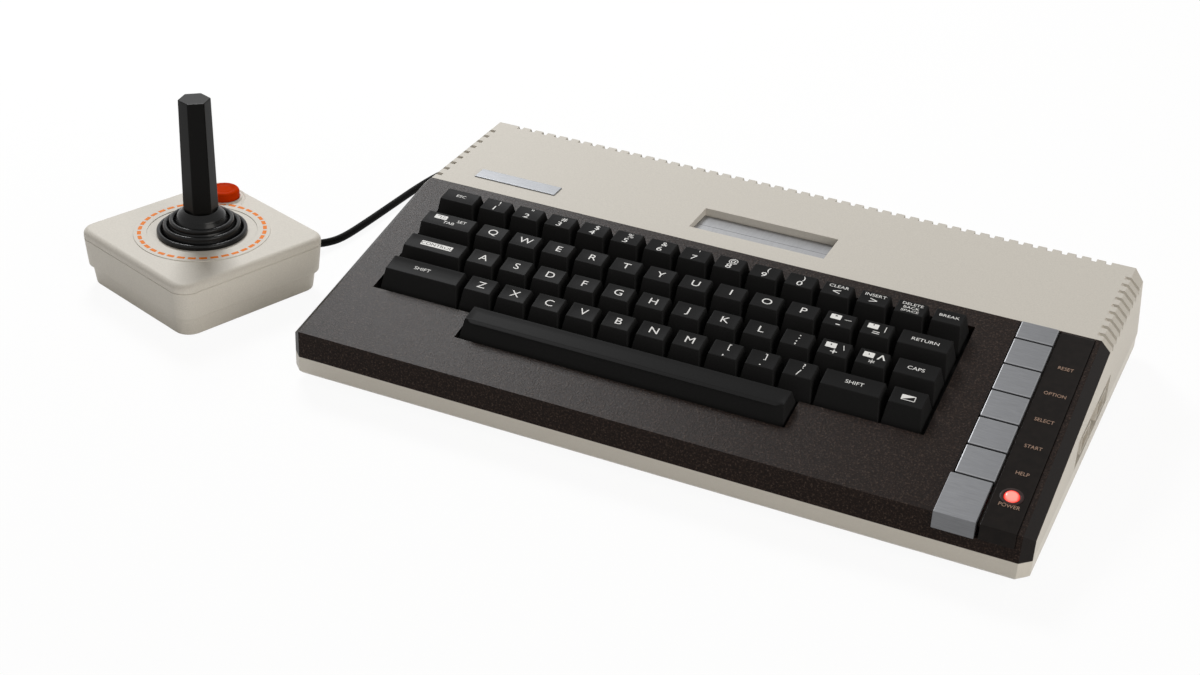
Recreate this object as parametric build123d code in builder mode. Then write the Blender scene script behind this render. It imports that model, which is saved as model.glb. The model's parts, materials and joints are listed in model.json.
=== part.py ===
from build123d import *
import math
import os

os.makedirs("parts", exist_ok=True)

# Origin: on the desk, under the middle of the computer's footprint.
# +X to the user's right, +Y away from the user, +Z up, millimetres.

# ---------------------------------------------------------------- case
case_width = 381.0
case_depth = 246.0          # front face to the lip of the rear slope
foot_height = 4.0
front_edge_height = 28.5    # front edge of the deck above the desk
seam_height = 14.0          # top of the bottom shell
deck_depth = 137.6          # in plan, front edge to the hood
deck_rise = 29.9
hood_rise = 2.4
slope_run = 26.1            # the rear slope, in plan
lip_height = 15.0           # lowest point of the rear slope
tray_setback = 8.0          # rear wall of the bottom shell, in front of the lip
edge_chamfer = 5.2
under_chamfer = 2.0
wall = 2.5
piece_gap = 0.2             # between two pieces that are assembled side by side
past = 20.0                 # how far a cutting block runs past what it cuts

y_front = -case_depth / 2
y_back = case_depth / 2
across = case_width / 381.0     # what stands side by side shares out the width
deck_angle = math.atan2(deck_rise, deck_depth)
deck_length = math.hypot(deck_rise, deck_depth)
deck_middle = deck_length / 2
hood_depth = case_depth - deck_depth - slope_run
hood_front_height = front_edge_height + deck_rise
hood_top = hood_front_height + hood_rise
hood_back = deck_depth + hood_depth
slope_drop = hood_top - lip_height
floor_top = foot_height + wall

deck = Plane(
    origin=(0, y_front, front_edge_height),
    x_dir=(1, 0, 0),
    z_dir=(0, -math.sin(deck_angle), math.cos(deck_angle)),
)
hood_angle = math.atan2(hood_rise, hood_depth)
hood = Plane(
    origin=(0, y_front + deck_depth, hood_front_height),
    x_dir=(1, 0, 0),
    z_dir=(0, -math.sin(hood_angle), math.cos(hood_angle)),
)
rear_slope = Plane(
    origin=(0, y_front + hood_back, hood_top),
    x_dir=(1, 0, 0),
    z_dir=(0, slope_drop, slope_run),
)

# ---------------------------------------------------------------- vents
rear_vent_count = 45
rear_vent_pitch = 7.79 * across
rear_vent_width = 3.1
rear_vent_length = 22.0
rear_vent_notch = 8.0       # how far the slots run forward past the top edge
side_vent_count = 9
side_vent_front, side_vent_back = 6.1, 13.1    # from the hood's edges to the end slots
side_vent_pitch = (hood_depth - side_vent_front - side_vent_back) / (side_vent_count - 1)
side_vent_width = 2.8
side_vent_depth = 2.3       # square to the chamfer

# ---------------------------------------------------------------- cartridge slot
slot_width = 75.4
slot_front = deck_depth + 14.4
slot_depth = 23.8
door_depth_below = 5.0      # door face under the hood's top
door_thickness = 1.2
slot_frame_height = 13.0
slot_frame_wall = 2.2
door_pin_radius = 0.6
door_pin_inset = 1.6        # from the slot's wall to the middle of the pin
pin_gap = 0.06              # between a pin and its hole
pin_end_gap = 0.3
door_side_gap = 0.4
door_middle_gap = 0.3
chute_bottom = 30.0
connector_width, connector_depth, connector_height = 62.0, 11.0, 13.0
contact_width, contact_slot, contact_depth = 56.0, 2.2, 9.0

# ---------------------------------------------------------------- keyboard well and keys
well_left, well_right = -167.9 * across, 126.0 * across
well_front, well_back = deck_middle - 25.0, deck_middle + 57.8
space_well_left, space_well_right = -110.2 * across, 64.6 * across
space_well_front = deck_middle - 44.6
well_skirt = 4.6
skirt_wall = 1.5

unit = case_width / 20      # key pitch
keys_left, keys_right = -166.0 * across, 124.35 * across
key_gap = 0.8               # between neighbouring caps at their feet
key_side_slope = 2.4        # how far the top is inside the foot, each side
key_front_slope = 8.0
key_top_depth = 10.4
key_foot = -3.0             # under the deck face
key_wall = 1.4
key_travel = 4.0
key_clearance = 1.6         # under a pressed cap
stem_radius = 2.4
stem_reach = 2.0            # into the switch when the key is up
stem_offset = -1.0          # towards the front from the middle of the top
stem_gap = 0.3
plate_thickness = 1.4
plate_side_margin = 7.0
plate_front_margin, plate_back_margin = 3.0, 6.0
plate_post_radius, plate_post_inset = 2.8, 3.5
switch_size = 14.0
switch_height = 7.0
board_thickness = 1.6
plate_top = key_foot - key_travel - key_clearance
switch_top = plate_top - plate_thickness
stem_end = switch_top - stem_reach

# Each row: front edge of the tops along the deck, height of that edge above
# the deck, tilt of the tops, right side of the row's first cap.
number_row = (deck_middle + 42.5, 10.9, -4.0, -142.3 * across)
upper_row = (deck_middle + 23.3, 10.9, -1.0, -133.5 * across)
home_row = (deck_middle + 4.1, 9.2, 2.0, -129.2 * across)
lower_row = (deck_middle - 15.1, 8.0, 4.0, -120.6 * across)
number_count, upper_count, home_count, lower_count = 14, 12, 12, 10    # single caps after it
right_shift_end = 103.5 * across
space_front_edge, space_height, space_tilt = deck_middle - 35.0, 7.4, 4.0
space_left, space_right = -109.2 * across, 63.6 * across

# ---------------------------------------------------------------- console column
console_left, console_width = 145.9 * across, 19.6 * across
console_gap = 0.4
console_end = deck_length - 1.4
console_pitch = 20.0
first_button_edge = deck_middle - 44.4
console_height = 1.8        # button faces above the deck
console_depth = 3.2         # their skirts below it
console_wrap = 7.3          # down the front face
button_travel = 1.6
console_chamfer = 0.45
console_board_top = -9.0
window_width = 16.6 * across
window_height = 0.7
window_depth = 1.4
lamp_radius = 3.7
lamp_at = 21.4              # from the front edge
lamp_rise = 0.6             # above the window
tact_size, tact_height = 6.0, 2.2
tact_gap = 0.3              # under a pressed button
button_stem_radius = 2.0
button_stem_end = console_board_top + tact_height + tact_gap + button_travel

# ---------------------------------------------------------------- inside
main_board_top = 13.6
main_board_front, main_board_back = 42.0, case_depth - 28.0
main_board_left, main_board_right = -150.0 * across, 150.0 * across
shield_front, shield_back = slot_front - 12.0, main_board_back - 14.0
shield_left, shield_right = -130.0 * across, 118.0 * across
shield_top = 36.0
shield_wall = 0.8
bay_left, bay_right = -140.0 * across, 120.0 * across
bay_bottom, bay_top = 12.5, 34.0
bay_panel = case_depth - 24.0    # face of the socket panel, from the front face
bay_wall = 2.0
socket_height = 22.5
port_front, port_back = 86.0, 158.0
port_bottom, port_top = 15.0, 31.0
port_depth = 4.0
port_margin = 18.5          # from the pocket's end to the middle of the nearest port
port_body_width, port_body_height, port_body_depth = 20.0, 11.0, 10.0
port_shell_width, port_shell_height = 18.2, 9.6
port_shell_wall = 0.8
port_flange_width, port_flange_height, port_flange = 31.0, 12.4, 1.0
screw_radius = 1.4
screw_gap = 0.05
screw_head_height = 2.0
screw_seat = foot_height + 2.4   # underside of the heads' counterbores
pilot_depth = 12.0
screw_head_radius = 3.0
post_radius = 4.0
boss_radius = 3.0
foot_radius, foot_chamfer = 8.0, 0.8
chip_height, chip_gap = 4.0, 6.0
shield_hole_radius = 1.6
din_bore_radius, din_bore_depth = 6.6, 8.0
din_shell, din_rise = 1.4, 0.8
serial_width, serial_height, serial_depth = 40.0, 8.0, 9.0
serial_shell, serial_rise = 2.0, 2.5
rf_radius, rf_length, rf_bore_radius = 4.15, 8.0, 1.6
rf_flange_radius, rf_flange_rise = 5.4, 0.8
connector_body = 7.0        # depth of the socket bodies behind the panel
channel_x, channel_slot, channel_knob = 78.0 * across, 12.4, 5.0
channel_height, channel_rise, channel_offset = 4.6, 2.2, 3.0
rocker_x = 103.0 * across
rocker_width, rocker_opening = 19.6, 13.4
rocker_gap = 0.4
rocker_cheek = 2.0
rocker_pin_radius = 1.0
rocker_pivot_depth = 4.0
rocker_depth = 8.5
rocker_cheek_half = 5.0
rocker_back_half = 2.6
rocker_face = ((1.0, -5.4), (0.4, 0.0), (2.2, 5.0))   # beyond the panel, above the middle
ribbon_width, ribbon_thickness, ribbon_left = 50.0, 0.6, 20.0 * across
ribbon_reach = 12.0         # from where it leaves the keyboard to where it lands

# ---------------------------------------------------------------- joystick
stick_turn = -19.5
joystick = Plane(origin=(-287.0, y_front + 64.0, 0)).rotated((0, 0, stick_turn))
base_width, base_height, base_draft = 89.5, 13.5, 6.0
lid_width, lid_skirt, lid_draft = 94.0, 13.5, 5.0
lid_cap = 5.0
lid_corner, lid_fillet = 9.0, 3.6
lid_wall = 2.2
lid_top = base_height + lid_skirt + lid_cap
pivot_height = 25.0
ring_radius, ring_height = 10.0, 4.0
ring_gap = 0.5
collar_wall = 3.5
gimbal_pin_radius = 1.0
ball_radius, ball_gap = 5.2, 0.3
boot_wall = 1.3
boot_inner_radius = 8.2
boot_height, boot_neck = 16.0, 10.0
stick_foot_radius, stick_foot_height = 10.0, 2.0
stick_shaft_radius, stick_neck_radius = 3.4, 7.8
stick_hex_bottom, stick_hex_top = 9.5, 8.7
stick_top = 109.5
stick_tilt = 10.0
fire_x, fire_y = -26.0, 33.0
fire_radius, fire_rise, fire_travel = 8.0, 5.5, 2.0
fire_skirt, fire_stem_radius, fire_fillet = 7.0, 2.5, 1.8
fire_gap, fire_rim, fire_rim_rise = 0.4, 1.4, 0.8
board_stand = 3.5
dome_radius, dome_height, dome_circle = 3.0, 1.0, 9.0
lead_radius = 2.25
lead_exit_height = 8.0
relief_radius = 3.2
relief_length, relief_outside = 12.0, 9.0


def roof(y):
    """Height of the case's top at a distance from the front face."""
    if y <= deck_depth:
        return front_edge_height + y * math.tan(deck_angle)
    return hood_front_height + (y - deck_depth) * math.tan(hood_angle)


def on_deck(s, n):
    """(Y, Z) of a point s along the deck from its front edge and n above it."""
    return (
        y_front + s * math.cos(deck_angle) - n * math.sin(deck_angle),
        front_edge_height + s * math.sin(deck_angle) + n * math.cos(deck_angle),
    )


def deck_corner(n):
    """(Y, Z) of the deck's front corner when both faces stand n further out."""
    rise = n / math.cos(deck_angle) - n * math.tan(deck_angle)
    return (y_front - n, front_edge_height + rise)


def block(low, high):
    """A plain box between two corners."""
    with BuildPart() as box:
        with BuildSketch(Plane.XY.offset(low[2])):
            with Locations(((low[0] + high[0]) / 2, (low[1] + high[1]) / 2)):
                Rectangle(high[0] - low[0], high[1] - low[1])
        extrude(amount=high[2] - low[2])
    return box.part


def case_block(inset):
    """The closed outline of the case, moved in by a wall on every side."""
    half = case_width / 2 - inset
    size = edge_chamfer - inset * (2 - math.sqrt(2))
    tray_back = case_depth - tray_setback
    lip_front = y_front + tray_back - 1
    with BuildPart() as case:
        with BuildSketch(Plane.YZ):
            with BuildLine():
                Polyline(
                    (y_front, foot_height),
                    (y_front, front_edge_height),
                    (y_front + deck_depth, hood_front_height),
                    (y_front + hood_back, hood_top),
                    (y_front + case_depth, lip_height),
                    (y_front + tray_back, seam_height - wall),
                    (y_front + tray_back, foot_height),
                    close=True,
                )
            make_face()
            if inset:
                offset(amount=-inset, kind=Kind.INTERSECTION)
        extrude(amount=half, both=True)
        side_edges = case.edges().filter_by(lambda e: abs(abs(e.center().X) - half) < 0.01)
        raised = side_edges.filter_by(lambda e: e.center().Z > foot_height + inset + 0.01)
        upper = raised.filter_by(lambda e: e.center().Y < lip_front or e.center().Z > lip_height)
        chamfer(upper, size)
        if not inset:
            chamfer(case.faces().sort_by(Axis.Z)[0].edges(), under_chamfer)
    return case.part


outer_block = case_block(0)
inner_block = case_block(wall)


def bezel_region():
    """Side view of what the brown bezel takes from the case."""
    return (
        (y_front - past, seam_height),
        (y_front - past, hood_top + past),
        (y_front + deck_depth, hood_top + past),
        (y_front + deck_depth, roof(deck_depth) - edge_chamfer),
        (y_front + edge_chamfer, roof(edge_chamfer) - edge_chamfer),
        (y_front + edge_chamfer, seam_height),
    )


with BuildPart() as bezel_zone:
    with BuildSketch(Plane.YZ):
        with BuildLine():
            Polyline(*bezel_region(), close=True)
        make_face()
    extrude(amount=case_width, both=True)

# Places of the case screws: two through the bezel's front, four through the hood.
front_post_depth = 8.5
post_x, hood_post_x = 172.0 * across, 160.0 * across
hood_post_front, hood_post_back = y_front + deck_depth + 12.4, y_back - 40.0
front_posts = [(-post_x, y_front + front_post_depth), (post_x, y_front + front_post_depth)]
hood_posts = [(x, y) for y in (hood_post_front, hood_post_back) for x in (-hood_post_x, hood_post_x)]
port_middle_z = (port_bottom + port_top) / 2
port_places = [y_front + port_front + port_margin, y_front + port_back - port_margin]
side_face = Plane(origin=(case_width / 2, 0, 0), x_dir=(0, 1, 0), z_dir=(1, 0, 0))
slot_middle = y_front + slot_front + slot_depth / 2
slot_roof = roof(slot_front)
door_top = slot_roof - door_depth_below
door_pin_z = door_top - door_thickness / 2
bay_face = y_front + bay_panel
bay_outer_left, bay_outer_right = bay_left - bay_wall, bay_right + bay_wall

# ---------------------------------------------------------------- top shell
with BuildPart() as top_shell:
    add(outer_block)
    add(inner_block, mode=Mode.SUBTRACT)
    with BuildSketch(Plane.XY.offset(seam_height)):
        Rectangle(2 * case_width, 2 * case_depth)
    extrude(amount=-seam_height, mode=Mode.SUBTRACT)
    add(bezel_zone.part, mode=Mode.SUBTRACT)
    # frame under the hood that holds the cartridge doors
    with BuildSketch(Plane.XY.offset(slot_roof - slot_frame_height)):
        with Locations((0, slot_middle)):
            Rectangle(slot_width + 2 * slot_frame_wall, slot_depth + 2 * slot_frame_wall)
    extrude(amount=slot_frame_height - wall / 2)
    with BuildSketch(Plane.XY.offset(slot_roof - slot_frame_height)):
        with Locations((0, slot_middle)):
            Rectangle(slot_width, slot_depth)
    extrude(amount=slot_frame_height + past, mode=Mode.SUBTRACT)
    # posts for the case screws
    for post in hood_posts:
        with BuildSketch(Plane.XY.offset(seam_height + piece_gap)):
            with Locations(post):
                Circle(post_radius)
        extrude(amount=roof(post[1] - y_front) - wall / 2 - seam_height - piece_gap)
    with BuildSketch(Plane.XY.offset(seam_height)):
        with Locations(*hood_posts):
            Circle(screw_radius + screw_gap)
    extrude(amount=pilot_depth, mode=Mode.SUBTRACT)
    # slots down the rear slope, which also notch its top edge
    with BuildSketch(rear_slope.offset(wall)):
        with Locations((0, (rear_vent_length - rear_vent_notch) / 2)):
            with GridLocations(rear_vent_pitch, 1, rear_vent_count, 1):
                Rectangle(rear_vent_width, rear_vent_length + rear_vent_notch)
    extrude(amount=-(2 * wall + piece_gap), mode=Mode.SUBTRACT)
    # slots across the chamfer of each side
    for i in range(side_vent_count):
        y = deck_depth + side_vent_front + i * side_vent_pitch
        cut = side_vent_depth * math.sqrt(2)
        inner_x = case_width / 2 - edge_chamfer - cut
        low_z = roof(y) - edge_chamfer - cut
        for side in (-1, 1):
            with BuildSketch(Plane.XZ.offset(-(y_front + y))):
                with BuildLine():
                    Polyline(
                        (side * inner_x, roof(y)),
                        (side * inner_x, roof(y) + past),
                        (side * (case_width / 2 + past), roof(y) + past),
                        (side * (case_width / 2 + past), low_z),
                        (side * case_width / 2, low_z),
                        close=True,
                    )
                make_face()
            extrude(amount=side_vent_width / 2, both=True, mode=Mode.SUBTRACT)
    # pocket in the right side for the controller ports
    add(
        block(
            (case_width / 2 - port_depth - wall, y_front + port_front - wall, seam_height),
            (case_width / 2 - wall / 2, y_front + port_back + wall, port_top + wall),
        )
    )
    add(
        block(
            (case_width / 2 - port_depth, y_front + port_front, port_bottom),
            (case_width / 2 + past, y_front + port_back, port_top),
        ),
        mode=Mode.SUBTRACT,
    )
    with BuildSketch(side_face):
        with Locations(*[(y, port_middle_z) for y in port_places]):
            Rectangle(port_body_width + 2 * piece_gap, port_body_height + 2 * piece_gap)
    extrude(amount=-(port_depth + 2 * wall), mode=Mode.SUBTRACT)
    # opening for the socket bay
    add(
        block(
            (bay_outer_left - piece_gap, bay_face - 2 * bay_wall, bay_bottom),
            (bay_outer_right + piece_gap, bay_face + past + slope_run, bay_top + bay_wall + piece_gap),
        ),
        mode=Mode.SUBTRACT,
    )
    # bearing holes of the door pins
    for edge in (-1, 1):
        with BuildSketch(Plane.YZ):
            with Locations((slot_middle + edge * (slot_depth / 2 - door_pin_inset), door_pin_z)):
                Circle(door_pin_radius + pin_gap)
        extrude(amount=slot_width / 2 + slot_frame_wall + 1, both=True, mode=Mode.SUBTRACT)
top_shell.part.label = "top_shell"
export_step(top_shell.part, "parts/top_shell.step")

# ---------------------------------------------------------------- keyboard bezel
console_right = console_left + console_width
window_left = console_right + console_gap
window_right = window_left + window_width

plate_left, plate_right = well_left - plate_side_margin, well_right + plate_side_margin
plate_front, plate_back = space_well_front - plate_front_margin, well_back + plate_back_margin
plate_posts = [
    (x, y)
    for x in (plate_left + plate_post_inset, plate_right - plate_post_inset)
    for y in (well_front + 16.0, well_back - 4.0)
]
plate_posts += [(x, space_well_front + 9.0) for x in (space_well_left - 8.0, space_well_right + 8.0)]


def well_outline(extra):
    """The keyboard opening in the deck, grown by a margin on every side."""
    with BuildSketch(Plane.XY) as outline:
        with Locations(((well_left + well_right) / 2, (well_front + well_back) / 2)):
            Rectangle(well_right - well_left + 2 * extra, well_back - well_front + 2 * extra)
        space_middle = (space_well_left + space_well_right) / 2
        with Locations((space_middle, (space_well_front + well_front) / 2)):
            Rectangle(
                space_well_right - space_well_left + 2 * extra,
                well_front - space_well_front + 2 * extra,
            )
    return outline.sketch


well_face = well_outline(0)
skirt_face = well_outline(skirt_wall)


def strip_profile(start, end, height, depth):
    """Side view of a strip along the deck; one that starts at 0 also wraps the front."""
    upper = [on_deck(end, height)]
    lower = [on_deck(end, -depth)]
    if start > 0:
        upper.append(on_deck(start, height))
        lower.append(on_deck(start, -depth))
    else:
        upper += [deck_corner(height), (y_front - height, front_edge_height - console_wrap)]
        lower += [deck_corner(-depth), (y_front + depth, front_edge_height - console_wrap)]
    return upper + lower[::-1]


def deck_strip(left, width, start, end, height, depth):
    """A strip of the deck between two distances from its front edge."""
    with BuildPart() as strip:
        with BuildSketch(Plane.YZ.offset(left)):
            with BuildLine():
                Polyline(*strip_profile(start, end, height, depth), close=True)
            make_face()
        extrude(amount=width)
    return strip.part


console_opening = deck_strip(
    console_left - console_gap,
    console_width + 2 * console_gap,
    0,
    console_end + console_gap,
    console_height + past,
    2 * wall,
)
window_recess = deck_strip(
    window_left - console_gap,
    window_width + console_gap + piece_gap,
    0,
    console_end + console_gap,
    window_height + past,
    window_depth,
)

with BuildPart() as keyboard_bezel:
    add(outer_block)
    add(inner_block, mode=Mode.SUBTRACT)
    add(bezel_zone.part, mode=Mode.INTERSECT)
    with BuildSketch(deck.offset(-wall / 2)):
        add(skirt_face)
    extrude(amount=-(wall / 2 + well_skirt))
    with BuildSketch(deck.offset(-wall / 2)):
        with Locations(*plate_posts):
            Circle(plate_post_radius)
    extrude(amount=plate_top + wall / 2)
    with BuildSketch(Plane.XY.offset(seam_height + piece_gap)):
        with Locations(*front_posts):
            Circle(post_radius)
    post_top = roof(front_post_depth - post_radius) - window_depth - 2 * piece_gap
    extrude(amount=post_top - seam_height - piece_gap)
    with BuildSketch(Plane.XY.offset(seam_height)):
        with Locations(*front_posts):
            Circle(screw_radius + screw_gap)
    extrude(amount=post_top - seam_height - wall / 2, mode=Mode.SUBTRACT)
    with BuildSketch(deck.offset(wall)):
        add(well_face)
    extrude(amount=-(2 * wall + well_skirt), mode=Mode.SUBTRACT)
    add(console_opening, mode=Mode.SUBTRACT)
    add(window_recess, mode=Mode.SUBTRACT)
    lamp_x = (window_left + window_right) / 2
    with BuildSketch(deck):
        with Locations((lamp_x, lamp_at)):
            Circle(lamp_radius + piece_gap)
    extrude(amount=-2 * wall, mode=Mode.SUBTRACT)
keyboard_bezel.part.label = "keyboard_bezel"
export_step(keyboard_bezel.part, "parts/keyboard_bezel.step")

# ---------------------------------------------------------------- bottom shell
foot_x = 165.0 * across
foot_places = [(x, y) for x in (-foot_x, foot_x) for y in (y_front + 24.0, y_back - 32.0)]
foot_places.append((0.0, 0.0))    # keeps the wide floor from sagging under the keyboard
board_posts = [
    (x, y_front + y)
    for x in (main_board_left + 8, main_board_right - 8)
    for y in (main_board_front + 8, shield_front - 8, main_board_back - 22)
]
with BuildPart() as bottom_shell:
    add(outer_block)
    add(inner_block, mode=Mode.SUBTRACT)
    with BuildSketch(Plane.XY.offset(seam_height)):
        Rectangle(2 * case_width, 2 * case_depth)
    extrude(amount=2 * hood_top, mode=Mode.SUBTRACT)
    with BuildSketch(Plane.XY.offset(floor_top - wall / 2)):
        with Locations(*front_posts, *hood_posts):
            Circle(post_radius)
    extrude(amount=seam_height - floor_top + wall / 2)
    with BuildSketch(Plane.XY.offset(floor_top - wall / 2)):
        with Locations(*board_posts):
            Circle(boss_radius)
    extrude(amount=main_board_top - board_thickness - floor_top + wall / 2)
    with Locations(*[Location((x, y, foot_height), (180, 0, 0)) for x, y in front_posts + hood_posts]):
        CounterBoreHole(
            radius=screw_radius + piece_gap,
            counter_bore_radius=screw_head_radius + piece_gap,
            counter_bore_depth=screw_seat - foot_height,
            depth=seam_height,
        )
    add(
        block(
            (bay_outer_left - piece_gap, bay_face - 2 * bay_wall, bay_bottom - bay_wall),
            (bay_outer_right + piece_gap, bay_face + past + slope_run, seam_height + past),
        ),
        mode=Mode.SUBTRACT,
    )
bottom_shell.part.label = "bottom_shell"
export_step(bottom_shell.part, "parts/bottom_shell.step")

with BuildPart() as rubber_feet:
    with BuildSketch(Plane.XY):
        with Locations(*foot_places):
            Circle(foot_radius)
    extrude(amount=foot_height)
    chamfer(rubber_feet.edges().group_by(Axis.Z)[0], foot_chamfer)
rubber_feet.part.label = "rubber_feet"
export_step(rubber_feet.part, "parts/rubber_feet.step")

with BuildPart() as case_screws:
    with BuildSketch(Plane.XY.offset(screw_seat - screw_head_height)):
        with Locations(*front_posts, *hood_posts):
            Circle(screw_head_radius)
    extrude(amount=screw_head_height)
    with BuildSketch(Plane.XY.offset(screw_seat)):
        with Locations(*front_posts):
            Circle(screw_radius)
    extrude(amount=post_top - wall - screw_seat)
    with BuildSketch(Plane.XY.offset(screw_seat)):
        with Locations(*hood_posts):
            Circle(screw_radius)
    extrude(amount=seam_height + pilot_depth - wall - screw_seat)
case_screws.part.label = "case_screws"
export_step(case_screws.part, "parts/case_screws.step")

# ---------------------------------------------------------------- name plate
badge_width, badge_depth, badge_height = 48.8, 9.8, 0.7
badge_x, badge_y = -140.6 * across, 16.9
badge_chamfer = 0.25
with BuildPart() as name_plate:
    with BuildSketch(hood):
        with Locations((badge_x, badge_y)):
            Rectangle(badge_width, badge_depth)
    extrude(amount=badge_height)
    chamfer(name_plate.faces().sort_by(Axis.Z)[-1].edges(), badge_chamfer)
name_plate.part.label = "name_plate"
export_step(name_plate.part, "parts/name_plate.step")

# ---------------------------------------------------------------- cartridge doors
door_length = slot_width - 2 * door_side_gap


def cartridge_door(edge):
    """One flap; edge is -1 for the front one and 1 for the rear one."""
    pin_y = slot_middle + edge * (slot_depth / 2 - door_pin_inset)
    leaf = slot_depth / 2 - door_middle_gap - door_side_gap
    leaf_y = slot_middle + edge * (door_middle_gap + leaf / 2)
    with BuildPart() as door:
        with BuildSketch(Plane.XY.offset(door_top - door_thickness)):
            with Locations((0, leaf_y)):
                Rectangle(door_length, leaf)
        extrude(amount=door_thickness)
        with BuildSketch(Plane.YZ):
            with Locations((pin_y, door_pin_z)):
                Circle(door_pin_radius)
        extrude(amount=slot_width / 2 + slot_frame_wall - pin_end_gap, both=True)
    return door.part


cartridge_door_front = cartridge_door(-1)
cartridge_door_front.label = "cartridge_door_front"
export_step(cartridge_door_front, "parts/cartridge_door_front.step")
cartridge_door_rear = cartridge_door(1)
cartridge_door_rear.label = "cartridge_door_rear"
export_step(cartridge_door_rear, "parts/cartridge_door_rear.step")

with BuildPart() as cartridge_guide:
    with BuildSketch(Plane.XY.offset(chute_bottom)):
        with Locations((0, slot_middle)):
            Rectangle(slot_width + 2 * slot_frame_wall, slot_depth + 2 * slot_frame_wall)
            Rectangle(slot_width, slot_depth, mode=Mode.SUBTRACT)
    extrude(amount=slot_roof - slot_frame_height - chute_bottom)
cartridge_guide.part.label = "cartridge_guide"
export_step(cartridge_guide.part, "parts/cartridge_guide.step")

with BuildPart() as cartridge_connector:
    with BuildSketch(Plane.XY.offset(main_board_top)):
        with Locations((0, slot_middle)):
            Rectangle(connector_width, connector_depth)
    extrude(amount=connector_height)
    with BuildSketch(Plane.XY.offset(main_board_top + connector_height)):
        with Locations((0, slot_middle)):
            Rectangle(contact_width, contact_slot)
    extrude(amount=-contact_depth, mode=Mode.SUBTRACT)
cartridge_connector.part.label = "cartridge_connector"
export_step(cartridge_connector.part, "parts/cartridge_connector.step")

# ---------------------------------------------------------------- console column
with BuildPart() as console_trim_top:
    add(
        deck_strip(
            console_left,
            console_width,
            first_button_edge + 5 * console_pitch + console_gap / 2,
            console_end,
            console_height,
            console_depth,
        )
    )
    chamfer(console_trim_top.faces().sort_by(Axis.Z)[-1].edges(), console_chamfer)
console_trim_top.part.label = "console_trim_top"
export_step(console_trim_top.part, "parts/console_trim_top.step")

with BuildPart() as console_trim_bottom:
    add(
        deck_strip(
            console_left,
            console_width,
            0,
            first_button_edge - console_gap / 2,
            console_height,
            console_depth,
        )
    )
    chamfer(console_trim_bottom.faces().sort_by(Axis.Z)[-1].edges(), console_chamfer)
console_trim_bottom.part.label = "console_trim_bottom"
export_step(console_trim_bottom.part, "parts/console_trim_bottom.step")

button_middles = [first_button_edge + (i + 0.5) * console_pitch for i in range(5)]
console_middle = console_left + console_width / 2
for button_name, s in zip(("help", "start", "select", "option", "reset"), button_middles):
    with BuildPart() as console_button:
        with BuildSketch(deck.offset(-console_depth)):
            with Locations((console_middle, s)):
                Rectangle(console_width, console_pitch - console_gap)
        extrude(amount=console_depth + console_height)
        chamfer(console_button.faces().sort_by(Axis.Z)[-1].edges(), console_chamfer)
        with BuildSketch(deck.offset(-console_depth)):
            with Locations((console_middle, s)):
                Circle(button_stem_radius)
        extrude(amount=button_stem_end + console_depth)
    console_button.part.label = button_name + "_button"
    export_step(console_button.part, "parts/" + button_name + "_button.step")

with BuildPart() as label_window:
    add(
        deck_strip(
            window_left,
            window_width,
            0,
            console_end,
            window_height,
            window_depth,
        )
    )
    chamfer(label_window.faces().sort_by(Axis.Z)[-1].edges(), console_chamfer)
    with BuildSketch(deck):
        with Locations((lamp_x, lamp_at)):
            Circle(lamp_radius + piece_gap)
    extrude(amount=wall, both=True, mode=Mode.SUBTRACT)
label_window.part.label = "label_window"
export_step(label_window.part, "parts/label_window.step")

with BuildPart() as power_lamp:
    with BuildSketch(deck.offset(console_board_top)):
        with Locations((lamp_x, lamp_at)):
            Circle(lamp_radius)
    extrude(amount=window_height - console_board_top + lamp_rise)
    fillet(power_lamp.faces().sort_by(Axis.Z)[-1].edges(), 1.0)
power_lamp.part.label = "power_lamp"
export_step(power_lamp.part, "parts/power_lamp.step")

with BuildPart() as console_board:
    with BuildSketch(deck.offset(console_board_top)):
        board_width = window_right - console_left
        with Locations((console_left + board_width / 2, (lamp_at + console_end) / 2 - 4)):
            Rectangle(board_width, console_end - lamp_at + 12)
    extrude(amount=-board_thickness)
    with BuildSketch(deck.offset(console_board_top)):
        for s in button_middles:
            with Locations((console_middle, s)):
                Rectangle(tact_size, tact_size)
    extrude(amount=tact_height)
    with BuildSketch(deck.offset(console_board_top)):
        with Locations((window_right - 3, lamp_at + 26.6), (window_right - 3, console_end - 21.4)):
            Circle(2)
    extrude(amount=-console_board_top - wall)
console_board.part.label = "console_board"
export_step(console_board.part, "parts/console_board.step")

# ---------------------------------------------------------------- keys


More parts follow.
